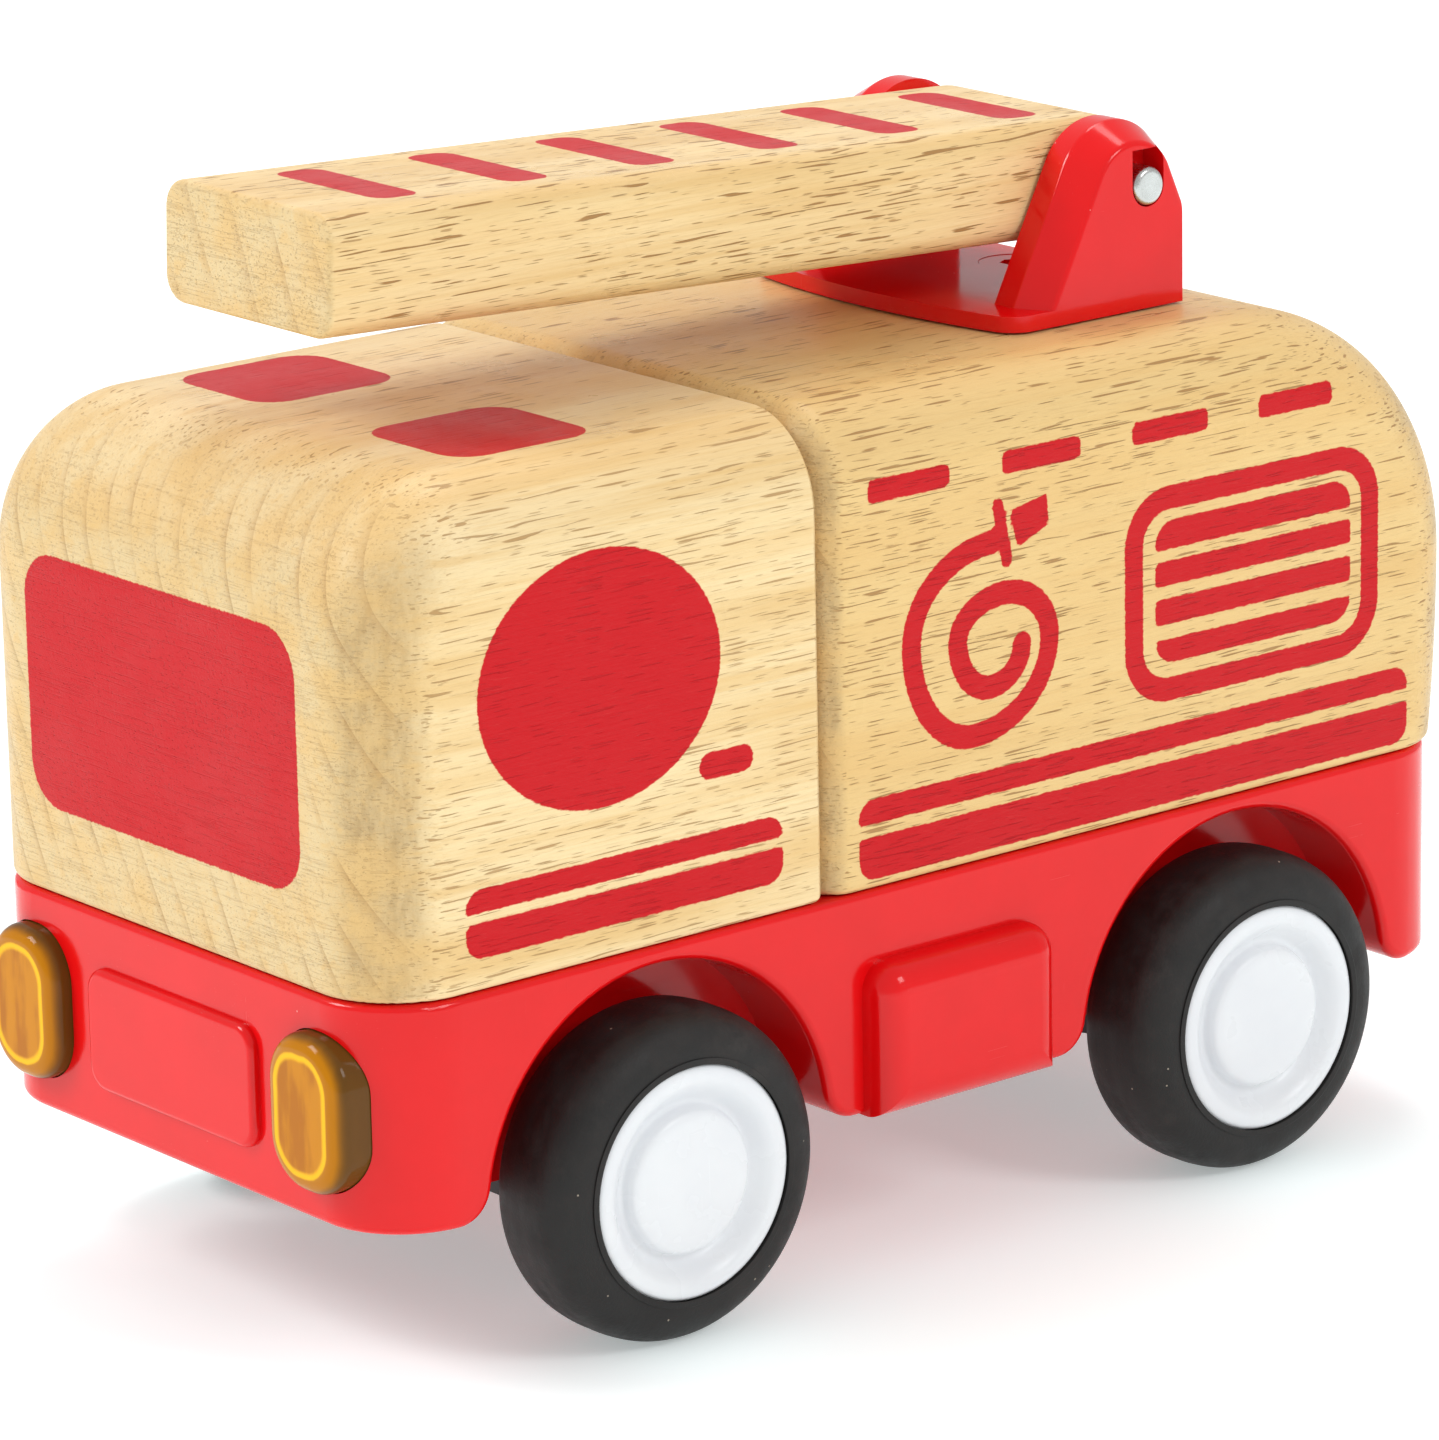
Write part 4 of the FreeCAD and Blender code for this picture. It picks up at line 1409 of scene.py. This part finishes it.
@dataclass
class Studio:
    """Camera, floor, sky and soft lights.

    lights holds each light's name, its place and width in metres, and its power in watts.
    """

    eye: tuple = (476.307, -387.292, 213.190)
    forward: tuple = (-0.748108, 0.606457, -0.269339)
    roll: float = math.radians(-1.109)
    lens: float = 183.955
    sensor: float = 36.0
    shift: float = -0.00367
    clip_m: tuple = (0.01, 20.0)
    floor_half_m: float = 6.0
    floor_tones: tuple = ((0.87, 0.935, 0.935, 1), (0.89, 0.95, 0.95, 1))
    floor_rough: float = 0.9
    floor_glow: float = 0.36
    sky: float = 0.68
    seen_sky: float = 1.0
    aim_m: tuple = (0, 0, 0.04)
    lights: tuple = (
        ("Key light", (-0.5, -0.7, 0.75), 0.35, 4.6),
        ("Side light", (0.9, 0.25, 0.7), 0.35, 2.9),
        ("Top light", (-0.3, 0.3, 0.95), 0.4, 2.4),
    )

    def camera(self) -> None:
        """Places the camera."""
        back = -Vector(self.forward).normalized()
        right = Vector((0, 0, 1)).cross(back).normalized()
        up = back.cross(right)
        c, s = math.cos(self.roll), math.sin(self.roll)
        side = right * c + up * s
        top = up * c - right * s
        data = bpy.data.cameras.new("Camera")
        data.lens = self.lens
        data.sensor_width = self.sensor
        data.shift_y = self.shift
        data.clip_start, data.clip_end = self.clip_m
        obj = bpy.data.objects.new("Camera", data)
        spin = Matrix((side, top, back)).transposed().to_4x4()
        obj.matrix_world = Matrix.Translation(Vector(self.eye) * MM) @ spin
        bpy.context.scene.collection.objects.link(obj)
        bpy.context.scene.camera = obj

    def floor(self) -> None:
        """Lays a wide white floor."""
        h = self.floor_half_m
        mesh = bpy.data.meshes.new("Floor")
        mesh.from_pydata([(-h, -h, 0), (h, -h, 0), (h, h, 0), (-h, h, 0)], [], [(0, 1, 2, 3)])
        made, g, place = new_material("White floor")
        colour = g.blend(g.noise(place, 0.01), *self.floor_tones)
        glow = {"Emission Color": colour, "Emission Strength": self.floor_glow}
        finish_with(g, colour, self.floor_rough, glow)
        mesh.materials.append(made)
        obj = bpy.data.objects.new("Floor", mesh)
        bpy.context.scene.collection.objects.link(obj)

    def light(self, name: str, place: tuple, size: float, power: float) -> None:
        """Hangs a square soft light that looks at the middle of the vehicle.

        Args:
            name: its name.
            place: where it hangs, in metres.
            size: its width in metres.
            power: in watts.
        """
        data = bpy.data.lights.new(name, "AREA")
        data.size = size
        data.energy = power
        obj = bpy.data.objects.new(name, data)
        obj.location = place
        aim = Vector(self.aim_m) - Vector(place)
        obj.rotation_euler = aim.to_track_quat("-Z", "Y").to_euler()
        bpy.context.scene.collection.objects.link(obj)

    def build(self) -> None:
        """Sets the camera, floor, lights and sky, which is brighter where the camera sees it."""
        self.camera()
        self.floor()
        for each in self.lights:
            self.light(*each)
        world = bpy.data.worlds.new("Studio sky")
        world.use_nodes = True
        g = Graph(world.node_tree)
        seen = g.add("LightPath").outputs["Is Camera Ray"]
        backdrop = world.node_tree.nodes["Background"].inputs
        backdrop["Color"].default_value = (1, 1, 1, 1)
        strength = g.ramp(seen, 0.0, 1.0, self.sky, self.seen_sky)
        world.node_tree.links.new(strength, backdrop["Strength"])
        bpy.context.scene.world = world
        bpy.context.scene.view_settings.view_transform = "Standard"


# ---- assembly


def main() -> None:
    """Builds the vehicle piece by piece, then the studio."""
    logging.basicConfig(level=logging.INFO, format="%(message)s")
    kit = Effects(beech_effect(), ink_effect(), dust_effect(), handling_effect())
    cab = BeechFinish(kit, "Cab beech").made
    rear = BeechFinish(
        kit,
        "Rear beech",
        light=(0.81, 0.565, 0.25, 1),
        ring_pitch=4.3,
        flecks=1.25,
        shift=(13.0, 140.0, 41.0),
    ).made
    bar = BeechFinish(
        kit,
        "Ladder beech",
        light=(0.91, 0.68, 0.36, 1),
        ring_pitch=5.0,
        flecks=1.35,
        shift=(-31.0, 70.0, 9.0),
    ).made
    rubber = RubberFinish(kit, "Tyre rubber").made
    hub, hub_shade = (0.80, 0.81, 0.83, 1), (0.76, 0.77, 0.80, 1)
    white = PlasticFinish(kit, "White hub", hub, hub_shade, (0.22, 0.34)).made
    shell, shell_shade = (0.79, 0.003, 0.005, 1), (0.74, 0.003, 0.004, 1)
    red = PlasticFinish(kit, "Red moulding", shell, shell_shade).made
    strap, strap_shade = (0.03, 0.03, 0.033, 1), (0.04, 0.04, 0.042, 1)
    dark = PlasticFinish(kit, "Dark moulding", strap, strap_shade, (0.45, 0.6)).made
    bright = SteelFinish(kit, "Bright steel").made
    plate, plate_shade = (0.52, 0.54, 0.56, 1), (0.34, 0.34, 0.33, 1)
    zinc = SteelFinish(kit, "Zinc plate", plate, plate_shade, (0.3, 0.5)).made
    amber = AmberFinish(kit, "Amber lens").made

    CabBlock("cab_block", 8.0).build(cab)
    RearBlock("rear_block", 7.0).build(rear)
    LadderBar().build(bar)
    for axle in Axle:
        for side in Side:
            Wheel(axle, side).build(rubber, white)
    for side in Side:
        Lens(side).build(amber)
    FrameParts().dress({"red": red, "dark": dark, "bright": bright, "zinc": zinc})
    Studio().build()


if __name__ == "__main__":
    main()
